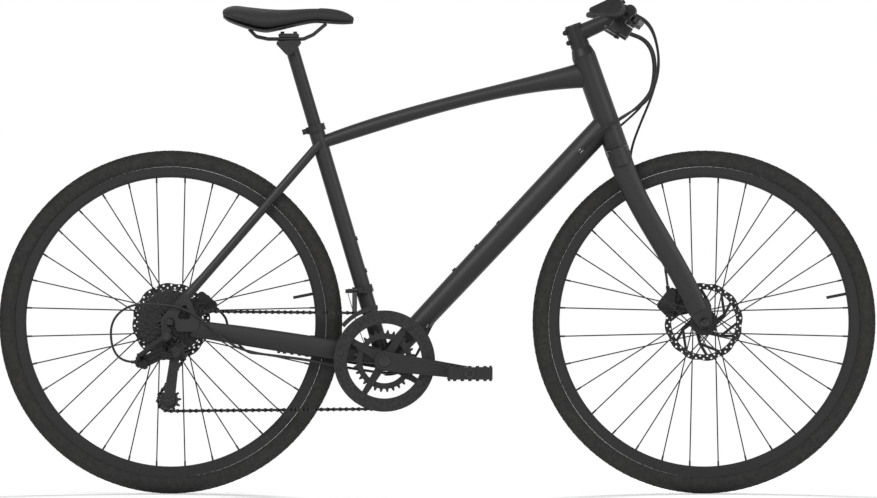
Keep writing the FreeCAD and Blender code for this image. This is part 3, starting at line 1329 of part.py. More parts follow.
def pedals(pedal, arm_outer):
    for side, name in ((-1, "right"), (1, "left")):
        sign = -side
        centre = bracket + Vector(sign * pedal[0], side * (arm_outer + 3 + N.pedal_width / 2),
                                  sign * pedal[1])
        tilt = 0 if side < 0 else PEDAL_TILT
        ahead = Vector(math.cos(tilt), 0, -math.sin(tilt))
        over = Vector(math.sin(tilt), 0, math.cos(tilt))
        half_x = N.pedal_length / 2 - 9
        half_y = N.pedal_width / 2 - 9
        base = axes_at(centre - over * (N.pedal_thickness / 2), ahead, over)
        corners = [(half_x, -half_y, 9), (half_x, half_y, 9), (-half_x, half_y, 9), (-half_x, -half_y, 9)]
        slab = plate(hull(*corners), S.pedal_thickness, base)
        windows = [plate(hull((x + 8 * way, -half_y, 5), (x + 8 * way, half_y, 5), (x - 8 * way, half_y, 5),
                              (x - 8 * way, -half_y, 5)), S.pedal_thickness, base)
                   for way, x in ((1, N.pedal_length / 4 + 1), (-1, -N.pedal_length / 4 - 1))]
        barrel = cylinder(S.pedal_spindle_diameter / 2 + 5, S.pedal_width,
                          centre + LEFT * (N.pedal_width / 2), -LEFT)
        teeth = []
        for x in (-N.pedal_length / 2 + 4, N.pedal_length / 2 - 4):
            for k in range(6):
                y = (k - 2.5) * N.pedal_width / 7
                teeth.append(block(5, 7, S.pedal_thickness + 6, centre + ahead * x + LEFT * y, ahead, over))
        for k in range(5):
            x = (k - 2) * N.pedal_length / 6
            outer = centre + ahead * x + LEFT * (side * (N.pedal_width / 2 - 3))
            teeth.append(block(7, 5, S.pedal_thickness + 6, outer, ahead, over))
        bore = cylinder(S.pedal_spindle_diameter / 2 + S.running_fit, S.pedal_width + 2,
                        centre + LEFT * (N.pedal_width / 2 + 1), -LEFT)
        node(f"pedal_{name}", cut(fuse(cut(slab, *windows), barrel, *teeth), bore))


# rear derailleur: a slanted parallelogram between two knuckles, and the sprung cage
def rear_derailleur():
    slant = math.radians(N.shift_slant)
    shift_way = Vector(0, math.cos(slant), -math.sin(slant))
    pivot_axis = FORWARD.cross(shift_way)
    sweep = math.radians(N.shift_sweep)
    link = FORWARD * (N.link_length * math.cos(sweep)) - shift_way * (N.link_length * math.sin(sweep))
    guide = rear_axle + Vector(GUIDE_PLACE[0], -N.chain_line, GUIDE_PLACE[1])
    tension = Vector(TENSION_PLACE[0], -N.chain_line, TENSION_PLACE[1])
    near = guide + Vector(-24, -24, 4)
    far = near - link
    pair = 12
    half = N.link_width / 2
    cheek = 3

    def flat(point, circles, level, thickness):
        return plate(hull(*circles), thickness, axes_at(point + pivot_axis * level, FORWARD, pivot_axis))

    def knuckle(point, way):
        circles = ((0, 0, 6), (0, pair, 6), (way * 13, pair / 2, 6))
        parts = [flat(point, circles, half + 0.3, cheek), flat(point, circles, -half - 0.3 - cheek, cheek),
                 flat(point, ((way * 12.5, min(0, 6 * way), 4), (way * 12.5, pair, 4)), -half - 1,
                      N.link_width + 2)]
        for k in (0, pair):
            pin_base = point + shift_way * k - pivot_axis * (half + cheek)
            parts.append(cylinder(2.5, S.link_width + 2 * cheek, pin_base, pivot_axis))
        return parts

    turn = Rotation(pivot_axis, -N.shift_sweep)
    for name, k in (("outer", 0), ("inner", pair)):
        base = far + shift_way * k - pivot_axis * half
        place = Placement(base, turn.multiply(Rotation(FORWARD, shift_way, pivot_axis, "ZXY")))
        bar = plate(hull((0, 0, 4.4), (N.link_length, 0, 4.4)) + [circle_edge(0, 0, 2.5 + N.running_fit),
                    circle_edge(N.link_length, 0, 2.5 + N.running_fit)], S.link_width, place)
        node(f"derailleur_{name}_link", bar)
    hanger_x, hanger_z = HANGER_BOLT
    hanger = rear_axle + Vector(hanger_x, -N.rear_spacing / 2 - N.dropout_thickness, hanger_z)
    web = far - FORWARD * 12.5 - shift_way * 6 + pivot_axis * 2
    arm_end = hanger + LEFT * -14
    arm = cylinder(5.5, (arm_end - web).Length, web, (arm_end - web).normalize())
    stub = cylinder(10, 20, hanger - LEFT * 0.1, -LEFT)
    bolt = cylinder(4.9, N.dropout_thickness + 4, hanger + LEFT * N.dropout_thickness, -LEFT)
    node("derailleur_hanger_knuckle", fuse(*knuckle(far, -1), arm, stub, bolt))

    side_gap = CHAIN_HALF_WIDTH + 0.9
    post_radius = 6
    plates = []
    for level in (-side_gap, side_gap + N.cage_plate):
        plates.append(plate(hull((guide.x, guide.z, 9), (tension.x, tension.z, 12)), S.cage_plate,
                            side_at(Vector(0, level - N.chain_line, 0))))
    bolts = [cylinder(2.5, 2 * side_gap + N.cage_plate, place + LEFT * (side_gap + N.cage_plate / 2), -LEFT)
             for place in (guide, tension)]
    post = cylinder(post_radius, 20, guide - LEFT * (side_gap + N.cage_plate - 0.5), -LEFT)
    node("derailleur_cage", fuse(*plates, *bolts, post))
    collar_start = guide - LEFT * (side_gap + N.cage_plate + 0.3)
    collar = cylinder(11, 20, collar_start, -LEFT)
    collar_bore = cylinder(post_radius + S.running_fit, 24, collar_start + LEFT * 1, -LEFT)
    node("derailleur_cage_knuckle", cut(fuse(*knuckle(near, 1), collar), collar_bore))
    for name, place in (("guide", guide), ("tension", tension)):
        phase = tooth_phase((place.x, place.z), TEETH_PULLEY)
        node(f"{name}_pulley", sprocket(TEETH_PULLEY, phase, place, 2.5 + N.running_fit,
                                        S.sprocket_thickness))


# front derailleur
FRONT_SHIFTER_HEIGHT = 150


def front_derailleur():
    base = on_seat(FRONT_SHIFTER_HEIGHT - 8)
    inner = seat_tube_diameter / 2 + S.weld_gap
    band = cut(cylinder(inner + 3.5, 16, base, seat_up), cylinder(inner, 16, base, seat_up))
    pivot = on_seat(FRONT_SHIFTER_HEIGHT) + Vector(-12, -32, 0)
    mount = block(22, 12, 12, on_seat(FRONT_SHIFTER_HEIGHT) + Vector(1, -float(inner) - 7, 0))
    pin = cylinder(3, 30, pivot - FORWARD * 20, FORWARD)
    foot = block(8, 12, 10, pivot + Vector(6, 3, 0))
    cable_arm = block(20, 5, 8, on_seat(FRONT_SHIFTER_HEIGHT) + Vector(-27, -6, -2))
    node("front_derailleur_clamp", cut(fuse(band, mount, pin, foot, cable_arm),
                                       cylinder(inner, 60, base - seat_up * 20, seat_up)))
    gap = CHAIN_HALF_WIDTH + 1.4
    low = N.guard_radius + 3
    high = low + 9
    start = math.radians(97)
    stop = math.radians(140)
    cage_thickness = 1.4
    cheeks = []
    for level in (gap + cage_thickness, -gap):
        inner_arc = Part.ArcOfCircle(Part.Circle(Vector(0, 0, 0), UP, low), start, stop)
        outer_arc = Part.ArcOfCircle(Part.Circle(Vector(0, 0, 0), UP, high), start, stop)
        ends = [Part.LineSegment(inner_arc.EndPoint, outer_arc.EndPoint),
                Part.LineSegment(outer_arc.StartPoint, inner_arc.StartPoint)]
        cheeks.append(plate([inner_arc, outer_arc, *ends], cage_thickness,
                            side_at(bracket + LEFT * (level - N.chain_line))))
    bridge_x, bridge_z = polar(low + 4.5, math.radians(137))
    bridge = block(8, 2 * gap + 2, 3, bracket + Vector(bridge_x, -N.chain_line, bridge_z))
    arm_top = pivot + Vector(-6, 0, 0)
    link_end = bracket + Vector(arm_top.x - bracket.x, -N.chain_line + gap + cage_thickness / 2 + 1, low - 12)
    link = block(10, 5, (link_end - arm_top).Length + 6, (arm_top + link_end) * 0.5, FORWARD,
                 (arm_top - link_end).normalize())
    barrel = cylinder(6, 10, arm_top - FORWARD * 5, FORWARD)
    bore = cylinder(3 + S.running_fit, 60, pivot - FORWARD * 40, FORWARD)
    node("front_derailleur_cage", cut(fuse(*cheeks, bridge, link, barrel), bore))


# hoses and cables
CORD_BEND = 45


def cables():
    runs = [hose(front + inside + rear, diameter, CORD_BEND) for front, inside, rear, diameter in cords()]
    wire_start = cords()[2][2][-1] - FORWARD * 0.2
    arm_end = on_seat(FRONT_SHIFTER_HEIGHT) + Vector(-32, -6, -6.3)
    runs.append(hose([wire_start, Vector(-140, -2, 256), arm_end], S.wire_diameter, 20))
    node("control_cables", group(*runs))
    port = front_axle + Vector(-72, N.front_rotor_offset + 6, 62) + FRONT_PORT_WAY * 12.2
    front_route = [*brake_port(1), Vector(434, 78, 956), Vector(452, 56, 900), Vector(448, 46, 850),
                   Vector(437, 50, 808), Vector(414, 58, 754), Vector(396, 72, 706), Vector(393, 72, 672),
                   Vector(408, 70, 612), Vector(440, 67, 545), Vector(457, 67, 490), Vector(455, 58, 458),
                   port + FRONT_PORT_WAY * 18, port]
    node("front_brake_hose", hose(front_route, S.hose_diameter, CORD_BEND))


def build():
    seat_mitre, shell_mitre = main_frame()
    rear_triangle(seat_mitre, shell_mitre)
    seat_collar()
    seat_assembly()
    headset()
    fork()
    stem()
    handlebar()
    controls()
    caliper("front", front_axle, S.front_rotor_offset, ((-66, 60, 9), (-86, 34, 9), (-70, 18, 9)),
            FRONT_CALIPER_BOLTS, N.front_spacing / 2,
            (Vector(-72, N.front_rotor_offset + 6, 62), FRONT_PORT_WAY))
    caliper("rear", rear_axle, S.rear_rotor_offset, ((62, 54, 8), (70, 22, 8), (86, 34, 8)),
            REAR_CALIPER_BOLTS, N.rear_spacing / 2, (Vector(86, N.rear_rotor_offset, 30), REAR_PORT_WAY))
    wheel("front", front_axle, S.front_flange_offset, S.wide_flange_offset, S.front_rotor_offset,
          S.wide_flange_offset + 6)
    wheel("rear", rear_axle, S.wide_flange_offset, S.rear_flange_offset, S.rear_rotor_offset,
          S.rear_flange_offset + 4)
    axle_set("front", front_axle, S.front_spacing, S.fork_end_thickness)
    axle_set("rear", rear_axle, S.rear_spacing, S.dropout_thickness)
    cassette()
    crankset()
    chain()
    rear_derailleur()
    front_derailleur()
    cables()


build()
doc.recompute()
os.makedirs("parts", exist_ok=True)
for thing in NODES:
    if "Invalid" in thing.State or "Error" in thing.State or thing.Shape.isNull() or not thing.Shape.isValid():
        raise RuntimeError(f"{thing.Label} did not build")
    thing.Shape.exportStep(f"parts/{thing.Label}.step")
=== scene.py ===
import json
import math

import bmesh
import bpy
from mathutils import Matrix, Vector


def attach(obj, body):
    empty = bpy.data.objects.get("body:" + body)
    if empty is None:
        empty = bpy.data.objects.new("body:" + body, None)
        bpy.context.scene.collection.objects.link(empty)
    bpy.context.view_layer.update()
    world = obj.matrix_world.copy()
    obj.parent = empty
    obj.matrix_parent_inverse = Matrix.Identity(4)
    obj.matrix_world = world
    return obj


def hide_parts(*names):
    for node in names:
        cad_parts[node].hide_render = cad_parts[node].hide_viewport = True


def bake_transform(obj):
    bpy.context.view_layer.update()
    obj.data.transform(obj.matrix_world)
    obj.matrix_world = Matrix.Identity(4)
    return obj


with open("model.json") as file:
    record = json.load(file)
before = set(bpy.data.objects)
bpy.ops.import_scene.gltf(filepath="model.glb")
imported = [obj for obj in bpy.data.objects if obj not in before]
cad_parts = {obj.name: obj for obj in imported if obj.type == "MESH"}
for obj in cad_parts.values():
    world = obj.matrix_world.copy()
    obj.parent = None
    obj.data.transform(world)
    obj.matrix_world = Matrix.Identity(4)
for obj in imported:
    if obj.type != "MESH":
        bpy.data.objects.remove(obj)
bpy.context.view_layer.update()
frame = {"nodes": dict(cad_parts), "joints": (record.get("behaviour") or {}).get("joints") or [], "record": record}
NODES = frame["nodes"]
PIVOTS = {joint["name"]: Vector(joint["pos_m"]) for joint in frame["joints"] if joint["type"] == "hinge"}

# finishes: charcoal, as dark as the photographed outline
CHARCOAL = 0.021


def shade(share, warm=0.0):
    """Charcoal times a share, a little towards red where it is warm."""
    level = CHARCOAL * share
    return (level * (1 + warm), level, level * (1 - warm), 1.0)


class Finish:
    """A procedural material, built up from patterns on Object coordinates."""

    def __init__(self, name, specular, metallic=0.0):
        self.material = bpy.data.materials.new(name)
        self.material.use_nodes = True
        self.tree = self.material.node_tree
        self.shader = self.tree.nodes["Principled BSDF"]
        self.shader.inputs["Metallic"].default_value = metallic
        self.shader.inputs["Specular IOR Level"].default_value = specular
        self.place = self.tree.nodes.new("ShaderNodeTexCoord").outputs["Object"]

    def node(self, kind, **inputs):
        made = self.tree.nodes.new(kind)
        for key, value in inputs.items():
            socket = made.inputs[key.replace("_", " ")]
            if isinstance(value, bpy.types.NodeSocket):
                self.tree.links.new(value, socket)
            else:
                socket.default_value = value
        return made

    def noise(self, scale, detail=3.0, stretch=None):
        place = self.place
        if stretch:
            place = self.node("ShaderNodeMapping", Vector=place, Scale=stretch).outputs["Vector"]
        return self.node("ShaderNodeTexNoise", Vector=place, Scale=scale, Detail=detail).outputs["Fac"]

    def grains(self, scale, randomness=1.0):
        made = self.node("ShaderNodeTexVoronoi", Vector=self.place, Scale=scale, Randomness=randomness)
        made.feature = "DISTANCE_TO_EDGE"
        return made.outputs["Distance"]

    def colour(self, fac, low, high, start=0.35, stop=0.65):
        """Colour that goes from low to high as the pattern goes from start to stop."""
        made = self.node("ShaderNodeValToRGB", Fac=fac)
        first, last = made.color_ramp.elements
        first.position, first.color = start, low
        last.position, last.color = stop, high
        self.tree.links.new(made.outputs["Color"], self.shader.inputs["Base Color"])

    def roughness(self, fac, low, high):
        made = self.node("ShaderNodeMapRange", Value=fac, To_Min=low, To_Max=high)
        self.tree.links.new(made.outputs["Result"], self.shader.inputs["Roughness"])

    def bump(self, fac, depth, strength):
        made = self.node("ShaderNodeBump", Height=fac, Distance=depth, Strength=strength)
        self.tree.links.new(made.outputs["Normal"], self.shader.inputs["Normal"])


def satin_paint():
    made = Finish("satin_frame_paint", specular=0.3)
    made.colour(made.noise(scale=2200, detail=1), shade(0.66), shade(0.94))
    made.roughness(made.noise(scale=30), low=0.38, high=0.5)
    made.bump(made.noise(scale=420, detail=2), depth=0.00004, strength=0.35)
    return made.material


def alloy(name, tones, roughness, **surface):
    made = Finish(name, **surface)
    made.colour(made.noise(scale=420), *(shade(tone) for tone in tones))
    made.roughness(made.noise(scale=260), *roughness)
    made.bump(made.noise(scale=1500, detail=2), depth=0.00002, strength=0.4)
    return made.material


def drawn_steel(name, tone):
    made = Finish(name, metallic=0.85, specular=0.4)
    streaks = made.noise(scale=320, stretch=(1, 6, 1))
    made.colour(streaks, shade(tone * 0.75), shade(tone * 1.3))
    made.roughness(made.noise(scale=300), low=0.3, high=0.5)
    made.bump(streaks, depth=0.00002, strength=0.3)
    return made.material


def blackened_wire():
    made = Finish("blackened_wire", specular=0.25)
    streaks = made.noise(scale=90, stretch=(1, 6, 1))
    made.colour(streaks, shade(0.75), shade(1.1))
    made.roughness(made.noise(scale=250, detail=2), low=0.4, high=0.6)
    made.bump(streaks, depth=0.00002, strength=0.3)
    return made.material


def tyre_rubber():
    made = Finish("tyre_rubber", specular=0.18)
    made.colour(made.noise(scale=140, detail=5), shade(1.0, warm=0.03), shade(1.5, warm=0.03))
    made.roughness(made.noise(scale=35), low=0.72, high=0.9)
    made.bump(made.noise(scale=900), depth=0.00012, strength=0.5)
    return made.material


def grip_rubber():
    made = Finish("grip_rubber", specular=0.2)
    cells = made.grains(scale=520, randomness=0.35)
    made.colour(cells, shade(0.7), shade(1.15), start=0.02, stop=0.25)
    made.roughness(made.noise(scale=80), low=0.66, high=0.85)
    made.bump(cells, depth=0.0004, strength=0.8)
    return made.material


def moulded_plastic():
    made = Finish("moulded_plastic", specular=0.25)
    made.colour(made.noise(scale=70, detail=4), shade(0.82), shade(1.15))
    made.roughness(made.noise(scale=400, detail=2), low=0.45, high=0.62)
    made.bump(made.grains(scale=1500), depth=0.00006, strength=0.4)
    return made.material


def saddle_hide():
    made = Finish("saddle_hide", specular=0.22)
    grain = made.grains(scale=900)
    made.colour(grain, shade(0.85, warm=0.02), shade(1.4, warm=0.02), start=0.0, stop=0.3)
    made.roughness(made.noise(scale=50), low=0.5, high=0.7)
    made.bump(grain, depth=0.0002, strength=0.6)
    return made.material


PAINT = satin_paint()
ALLOY = alloy("anodised_alloy", tones=(0.92, 1.12), roughness=(0.36, 0.52), metallic=0.35, specular=0.3)
RIM_ALLOY = alloy("blasted_alloy", tones=(1.5, 1.85), roughness=(0.78, 0.92), specular=0.08)
STEEL = drawn_steel("dark_steel", tone=1.5)
SPOKE_BLACK = blackened_wire()
BRIGHT_STEEL = drawn_steel("ground_steel", tone=1.9)
TYRE = tyre_rubber()
GRIP = grip_rubber()
PLASTIC = moulded_plastic()
HIDE = saddle_hide()

FINISH_OF_SLOT = {"frame_paint": PAINT, "black_alloy": ALLOY, "tyre": TYRE, "grip_rubber": GRIP,
                  "saddle_cover": HIDE, "hard_plastic": PLASTIC, "dark_steel": STEEL}
FINISH_OF_NODE = {"front_rim": RIM_ALLOY, "rear_rim": RIM_ALLOY}


def dress_nodes():
    for entry in frame["record"]["subparts"]:
        thing = NODES[entry["node"]]
        thing.data.materials.clear()
        thing.data.materials.append(FINISH_OF_NODE.get(entry["node"], FINISH_OF_SLOT[entry["material_slot"]]))


# making pieces
ACROSS = Vector((0, 1, 0))
CURVE_STEPS = 10
SAME_POINT = 1e-6


def link(name, mesh, finish):
    thing = bpy.data.objects.new(name, mesh)
    bpy.context.scene.collection.objects.link(thing)
    mesh.materials.append(finish)
    return thing


def seat_piece(thing, body, slot, *nodes):
    """Puts a finished piece on its body and hides the nodes that it stands for; the record's slot is not used."""
    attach(thing, body)
    if nodes:
        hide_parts(*nodes)


def mesh_from(name, points, faces):
    """A smooth mesh with no double points, whose faces all look outward."""
    mesh = bpy.data.meshes.new(name)
    mesh.from_pydata([tuple(point) for point in points], [], faces)
    mesh.validate()
    shape = bmesh.new()
    shape.from_mesh(mesh)
    bmesh.ops.remove_doubles(shape, verts=shape.verts, dist=SAME_POINT)
    bmesh.ops.recalc_face_normals(shape, faces=shape.faces)
    shape.to_mesh(mesh)
    shape.free()
    for face in mesh.polygons:
        face.use_smooth = True
    return mesh


def skin(name, rings, closed=False):
    """A surface through rings of equally many points: capped, or closed from the last ring to the first."""
    count = len(rings[0])
    points = [point for ring in rings for point in ring]
    faces = []
    last = len(rings) if closed else len(rings) - 1
    for i in range(last):
        here = i * count
        there = ((i + 1) % len(rings)) * count
        for k in range(count):
            n = (k + 1) % count
            faces.append((here + k, here + n, there + n, there + k))
    if not closed:
        faces.append(tuple(range(count)))
        faces.append(tuple(range(len(points) - count, len(points))))
    return mesh_from(name, points, faces)


def smooth_line(name, route):
    """Points along the NURBS curve that a route's corners control."""
    curve = bpy.data.curves.new(name, "CURVE")
    curve.dimensions = "3D"
    curve.resolution_u = CURVE_STEPS
    spline = curve.splines.new("NURBS")
    spline.points.add(len(route) - 1)
    for point, place in zip(spline.points, route):
        point.co = (*place, 1)
    spline.order_u = 3
    spline.use_endpoint_u = True
    thing = bpy.data.objects.new(name, curve)
    bpy.context.scene.collection.objects.link(thing)
    bpy.context.view_layer.update()
    line = bpy.data.meshes.new_from_object(thing.evaluated_get(bpy.context.evaluated_depsgraph_get()))
    places = [vertex.co.copy() for vertex in line.vertices]
    bpy.data.objects.remove(thing)
    bpy.data.curves.remove(curve)
    bpy.data.meshes.remove(line)
    return places


def tube(name, places, radius, sides):
    """A round tube along close points, with caps."""
    rings = []
    across = None
    for i, place in enumerate(places):
        ahead = (places[min(i + 1, len(places) - 1)] - places[max(i - 1, 0)]).normalized()
        if across is None:
            across = ahead.orthogonal().normalized()
        across = (across - ahead * across.dot(ahead)).normalized()
        over = ahead.cross(across)
        rings.append([place + (across * math.cos(a) + over * math.sin(a)) * radius
                      for a in (2 * math.pi * k / sides for k in range(sides))])
    return skin(name, rings)


class NodePlan:
    """A Geometry Nodes tree with named sizes, applied to a mesh of points or lines."""

    def __init__(self, name, **sizes):
        self.tree = bpy.data.node_groups.new(name, "GeometryNodeTree")
        self.tree.interface.new_socket("Geometry", in_out="INPUT", socket_type="NodeSocketGeometry")
        self.tree.interface.new_socket("Geometry", in_out="OUTPUT", socket_type="NodeSocketGeometry")
        self.values = {}
        for key, value in sizes.items():
            kind = "NodeSocketMaterial" if isinstance(value, bpy.types.Material) else "NodeSocketFloat"
            socket = self.tree.interface.new_socket(key, in_out="INPUT", socket_type=kind)
            self.values[socket.identifier] = value
        self.entry = self.tree.nodes.new("NodeGroupInput")

    def size(self, key):
        return self.entry.outputs[key]

    def node(self, kind, inputs, **settings):
        made = self.tree.nodes.new(kind)
        for key, value in settings.items():
            setattr(made, key, value)
        for key, value in inputs.items():
            if isinstance(value, bpy.types.NodeSocket):
                self.tree.links.new(value, made.inputs[key])
            else:
                made.inputs[key].default_value = value
        return made

    def join(self, *parts):
        made = self.tree.nodes.new("GeometryNodeJoinGeometry")
        for part in parts:
            self.tree.links.new(part, made.inputs["Geometry"])
        return made.outputs["Geometry"]

    def moved(self, part, offset=(0, 0, 0), turn=(0, 0, 0)):
        made = self.node("GeometryNodeTransform", {"Geometry": part, "Translation": offset, "Rotation": turn})
        return made.outputs["Geometry"]

    def rod(self, radius, depth, sides):
        made = self.node("GeometryNodeMeshCylinder", {"Vertices": sides, "Radius": radius, "Depth": depth})
        return made.outputs["Mesh"]

    def bar(self, x, y, z):
        size = self.node("ShaderNodeCombineXYZ", {"X": x, "Y": y, "Z": z}).outputs["Vector"]
        return self.node("GeometryNodeMeshCube", {"Size": size}).outputs["Mesh"]

    def at_points(self, part):
        """The part repeated on every point, turned by the points' own angles."""
        angles = self.node("GeometryNodeInputNamedAttribute", {"Name": "turn"}, data_type="FLOAT_VECTOR")
        turn = self.node("FunctionNodeEulerToRotation", {"Euler": angles.outputs["Attribute"]})
        inputs = {"Points": self.size("Geometry"), "Instance": part, "Rotation": turn.outputs["Rotation"]}
        return self.node("GeometryNodeInstanceOnPoints", inputs).outputs["Instances"]

    def finish(self, part):
        """Ends the tree with the part as one plain flat-shaded mesh in its finish."""
        for kind, inputs in (("GeometryNodeRealizeInstances", {}),
                             ("GeometryNodeSetShadeSmooth", {"Shade Smooth": False}),
                             ("GeometryNodeSetMaterial", {"Material": self.size("Finish")})):
            part = self.node(kind, {"Geometry": part, **inputs}).outputs["Geometry"]
        leave = self.tree.nodes.new("NodeGroupOutput")
        self.tree.links.new(part, leave.inputs["Geometry"])

    def apply(self, name, points, edges=(), turns=None):
        """Runs the tree on points or lines, and gives a plain mesh object."""
        seeds = bpy.data.meshes.new(name + "_seeds")
        seeds.from_pydata([tuple(point) for point in points], list(edges), [])
        if turns:
            angles = seeds.attributes.new("turn", "FLOAT_VECTOR", "POINT")
            for item, turn in zip(angles.data, turns):
                item.vector = turn
        thing = bpy.data.objects.new(name, seeds)
        bpy.context.scene.collection.objects.link(thing)
        modifier = thing.modifiers.new("plan", "NODES")
        modifier.node_group = self.tree
        for identifier, value in self.values.items():
            modifier[identifier] = value
        bpy.context.view_layer.update()
        made = bpy.data.meshes.new_from_object(thing.evaluated_get(bpy.context.evaluated_depsgraph_get()))
        made.name = name
        thing.modifiers.remove(modifier)
        thing.data = made
        bpy.data.meshes.remove(seeds)
        return thing


def turn_to(ahead, over):
    """Euler angles that lay local X along ahead and local Z nearest to over."""
    ahead = ahead.normalized()
    side = over.cross(ahead).normalized()
    over = ahead.cross(side)
    return Matrix((ahead, side, over)).transposed().to_euler()


# wheels, in metres
AXLES = {"front": PIVOTS["front_wheel_spin"], "rear": PIVOTS["rear_wheel_spin"]}
# from the wheel's middle to the hub's left and right flange
FLANGES = {"front": (0.022, 0.033), "rear": (0.033, 0.014)}
CASING_RING = 0.330
CASING_RADIUS = 0.0184
CASING_POINTS = 40
CASING_TURNS = 144
BEAD_DEGREES = 138
BEAD_FOOT = 0.3166
BEAD_NARROWING = 0.8
RIB_DEGREES = (96, 103)
RIB_HEIGHT = 0.0005
CROWN_DEGREES = 44
CROWN_DROP = 0.0003
# radians from the crown to each row of tread
TREAD_ROWS = (-0.62, -0.31, 0, 0.31, 0.62)
TREAD_BLOCKS = 132
TREAD_SKEW = 0.35
TREAD_SINK = 0.0006
SPOKES = 32
SPOKE_CIRCLE = 0.023
CROSSING_DEGREES = 67.5
SPOKE_HEAD = 0.0022
OUTER_ELBOW = 0.00405
INNER_ELBOW = -0.00265
RIM_STAGGER = 0.0015
RIM_SEAT = 0.297
NIPPLE_LENGTH = 0.013


def around(angle, radius, y=0.0):
    return Vector((radius * math.cos(angle), y, radius * math.sin(angle)))


def at_side(place, y):
    """The place moved straight across to a distance from the bicycle's middle."""
    return Vector((place.x, y, place.z))


def casing_profile():
    """The tyre's section as (radius, y), from bead to bead over the crown, and back inside."""
    profile = []
    for k in range(CASING_POINTS):
        angle = math.radians(-BEAD_DEGREES) + math.radians(2 * BEAD_DEGREES) * k / (CASING_POINTS - 1)
        swell = CASING_RADIUS
        side = abs(math.degrees(angle))
        if RIB_DEGREES[0] < side < RIB_DEGREES[1]:
            swell += RIB_HEIGHT
        if side < CROWN_DEGREES:
            swell -= CROWN_DROP
        profile.append((CASING_RING + swell * math.cos(angle), swell * math.sin(angle)))
    return profile + [(BEAD_FOOT, y * BEAD_NARROWING) for y in (profile[-1][1], profile[0][1])]


def tyre(name):
    """A casing with a moulded rib on each side, and rows of low tread blocks round its crown."""
    profile = casing_profile()
    rings = [[AXLES[name] + around(2 * math.pi * i / CASING_TURNS, radius, y) for radius, y in profile]
             for i in range(CASING_TURNS)]
    casing = link(f"{name}_tyre_casing", skin(f"{name}_tyre_casing", rings, closed=True), TYRE)
    seat_piece(casing, f"{name}_wheel", "tyre", f"{name}_tyre")

    plan = NodePlan("tread_blocks", Length=0.0128, Width=0.0049, Height=0.0022, Finish=TYRE)
    plan.finish(plan.at_points(plan.bar(plan.size("Length"), plan.size("Width"), plan.size("Height"))))
    places = []
    turned = []
    for row, lean in enumerate(TREAD_ROWS):
        skew = math.copysign(TREAD_SKEW, lean) if lean else 0
        for i in range(TREAD_BLOCKS):
            angle = 2 * math.pi * (i + 0.5 * (row % 2)) / TREAD_BLOCKS
            out = around(angle, math.cos(lean), math.sin(lean))
            along = around(angle + math.pi / 2, 1)
            places.append(AXLES[name] + around(angle, CASING_RING) + out * (CASING_RADIUS - TREAD_SINK))
            turned.append(turn_to(along * math.cos(skew) + out.cross(along) * math.sin(skew), out))
    blocks = plan.apply(f"{name}_tread", places, turns=turned)
    seat_piece(blocks, f"{name}_wheel", "tyre")


def spoke_lines(name):
    """Three-cross lacing with bent heads: (head, elbow, rim end) for each spoke."""
    left, right = FLANGES[name]
    lines = []
    for i in range(SPOKES):
        rim_angle = 2 * math.pi * (i + 0.5) / SPOKES
        outward = -1 if i % 2 == 0 else 1
        flange = -right if outward < 0 else left
        trailing = (i // 2) % 2 == 0
        hub_angle = rim_angle + math.radians(CROSSING_DEGREES if trailing else -CROSSING_DEGREES)
        hub = AXLES[name] + around(hub_angle, SPOKE_CIRCLE, flange)
        head = hub + ACROSS * outward * (-SPOKE_HEAD if trailing else SPOKE_HEAD)
        elbow = hub + ACROSS * outward * (OUTER_ELBOW if trailing else INNER_ELBOW)
        lines.append((head, elbow, AXLES[name] + around(rim_angle, RIM_SEAT, outward * RIM_STAGGER)))
    return lines


def spokes(name):
    lines = spoke_lines(name)
    wires = NodePlan("spoke_wires", Radius=0.0013, Finish=SPOKE_BLACK)
    strand = wires.node("GeometryNodeMeshToCurve", {"Mesh": wires.size("Geometry")})
    ring = wires.node("GeometryNodeCurvePrimitiveCircle", {"Resolution": 8, "Radius": wires.size("Radius")})
    wire = wires.node("GeometryNodeCurveToMesh", {
        "Curve": strand.outputs["Curve"], "Profile Curve": ring.outputs["Curve"], "Fill Caps": True})
    wires.finish(wire.outputs["Mesh"])
    places = [place for line in lines for place in line]
    edges = [(3 * i + k, 3 * i + k + 1) for i in range(len(lines)) for k in (0, 1)]
    strands = wires.apply(f"{name}_spoke_wires", places, edges=edges)
    seat_piece(strands, f"{name}_wheel", "dark_steel", f"{name}_spokes")

    nipples = NodePlan("spoke_nipples", Radius=0.0019, Length=NIPPLE_LENGTH, Finish=SPOKE_BLACK)
    rod = nipples.rod(nipples.size("Radius"), nipples.size("Length"), sides=8)
    nipples.finish(nipples.at_points(nipples.moved(rod, turn=(0, math.pi / 2, 0))))
    runs = [(end - elbow).normalized() for _, elbow, end in lines]
    middles = [end - run * (NIPPLE_LENGTH / 2) for (_, _, end), run in zip(lines, runs)]
    sleeves = nipples.apply(f"{name}_nipples", middles, turns=[turn_to(run, ACROSS) for run in runs])
    seat_piece(sleeves, f"{name}_wheel", "dark_steel")


# chain, following the sprockets as the solids do
PITCH = 0.0127
CHAIN_LINKS = 114
RING_TEETH = 48
COG_TEETH = 11
PULLEY_TEETH = 11
BRACKET = PIVOTS["crank_spin"]
GUIDE = PIVOTS["upper_pulley_spin"]
TENSION = PIVOTS["lower_pulley_spin"]
CHAIN_Y = GUIDE.y
INNER_PLATE_Y = 0.00165
OUTER_PLATE_Y = 0.00265
ROLLER_RADIUS = 0.0036
PIN_RADIUS = 0.0017
PIN_ENDS = 0.0013
# the next pin lies between these shares of a pitch along the track, and is found by halving
PIN_SEARCH = (0.9, 1.3)
HALVINGS = 40


def pitch_radius(teeth):
    return PITCH / (2 * math.sin(math.pi / teeth))


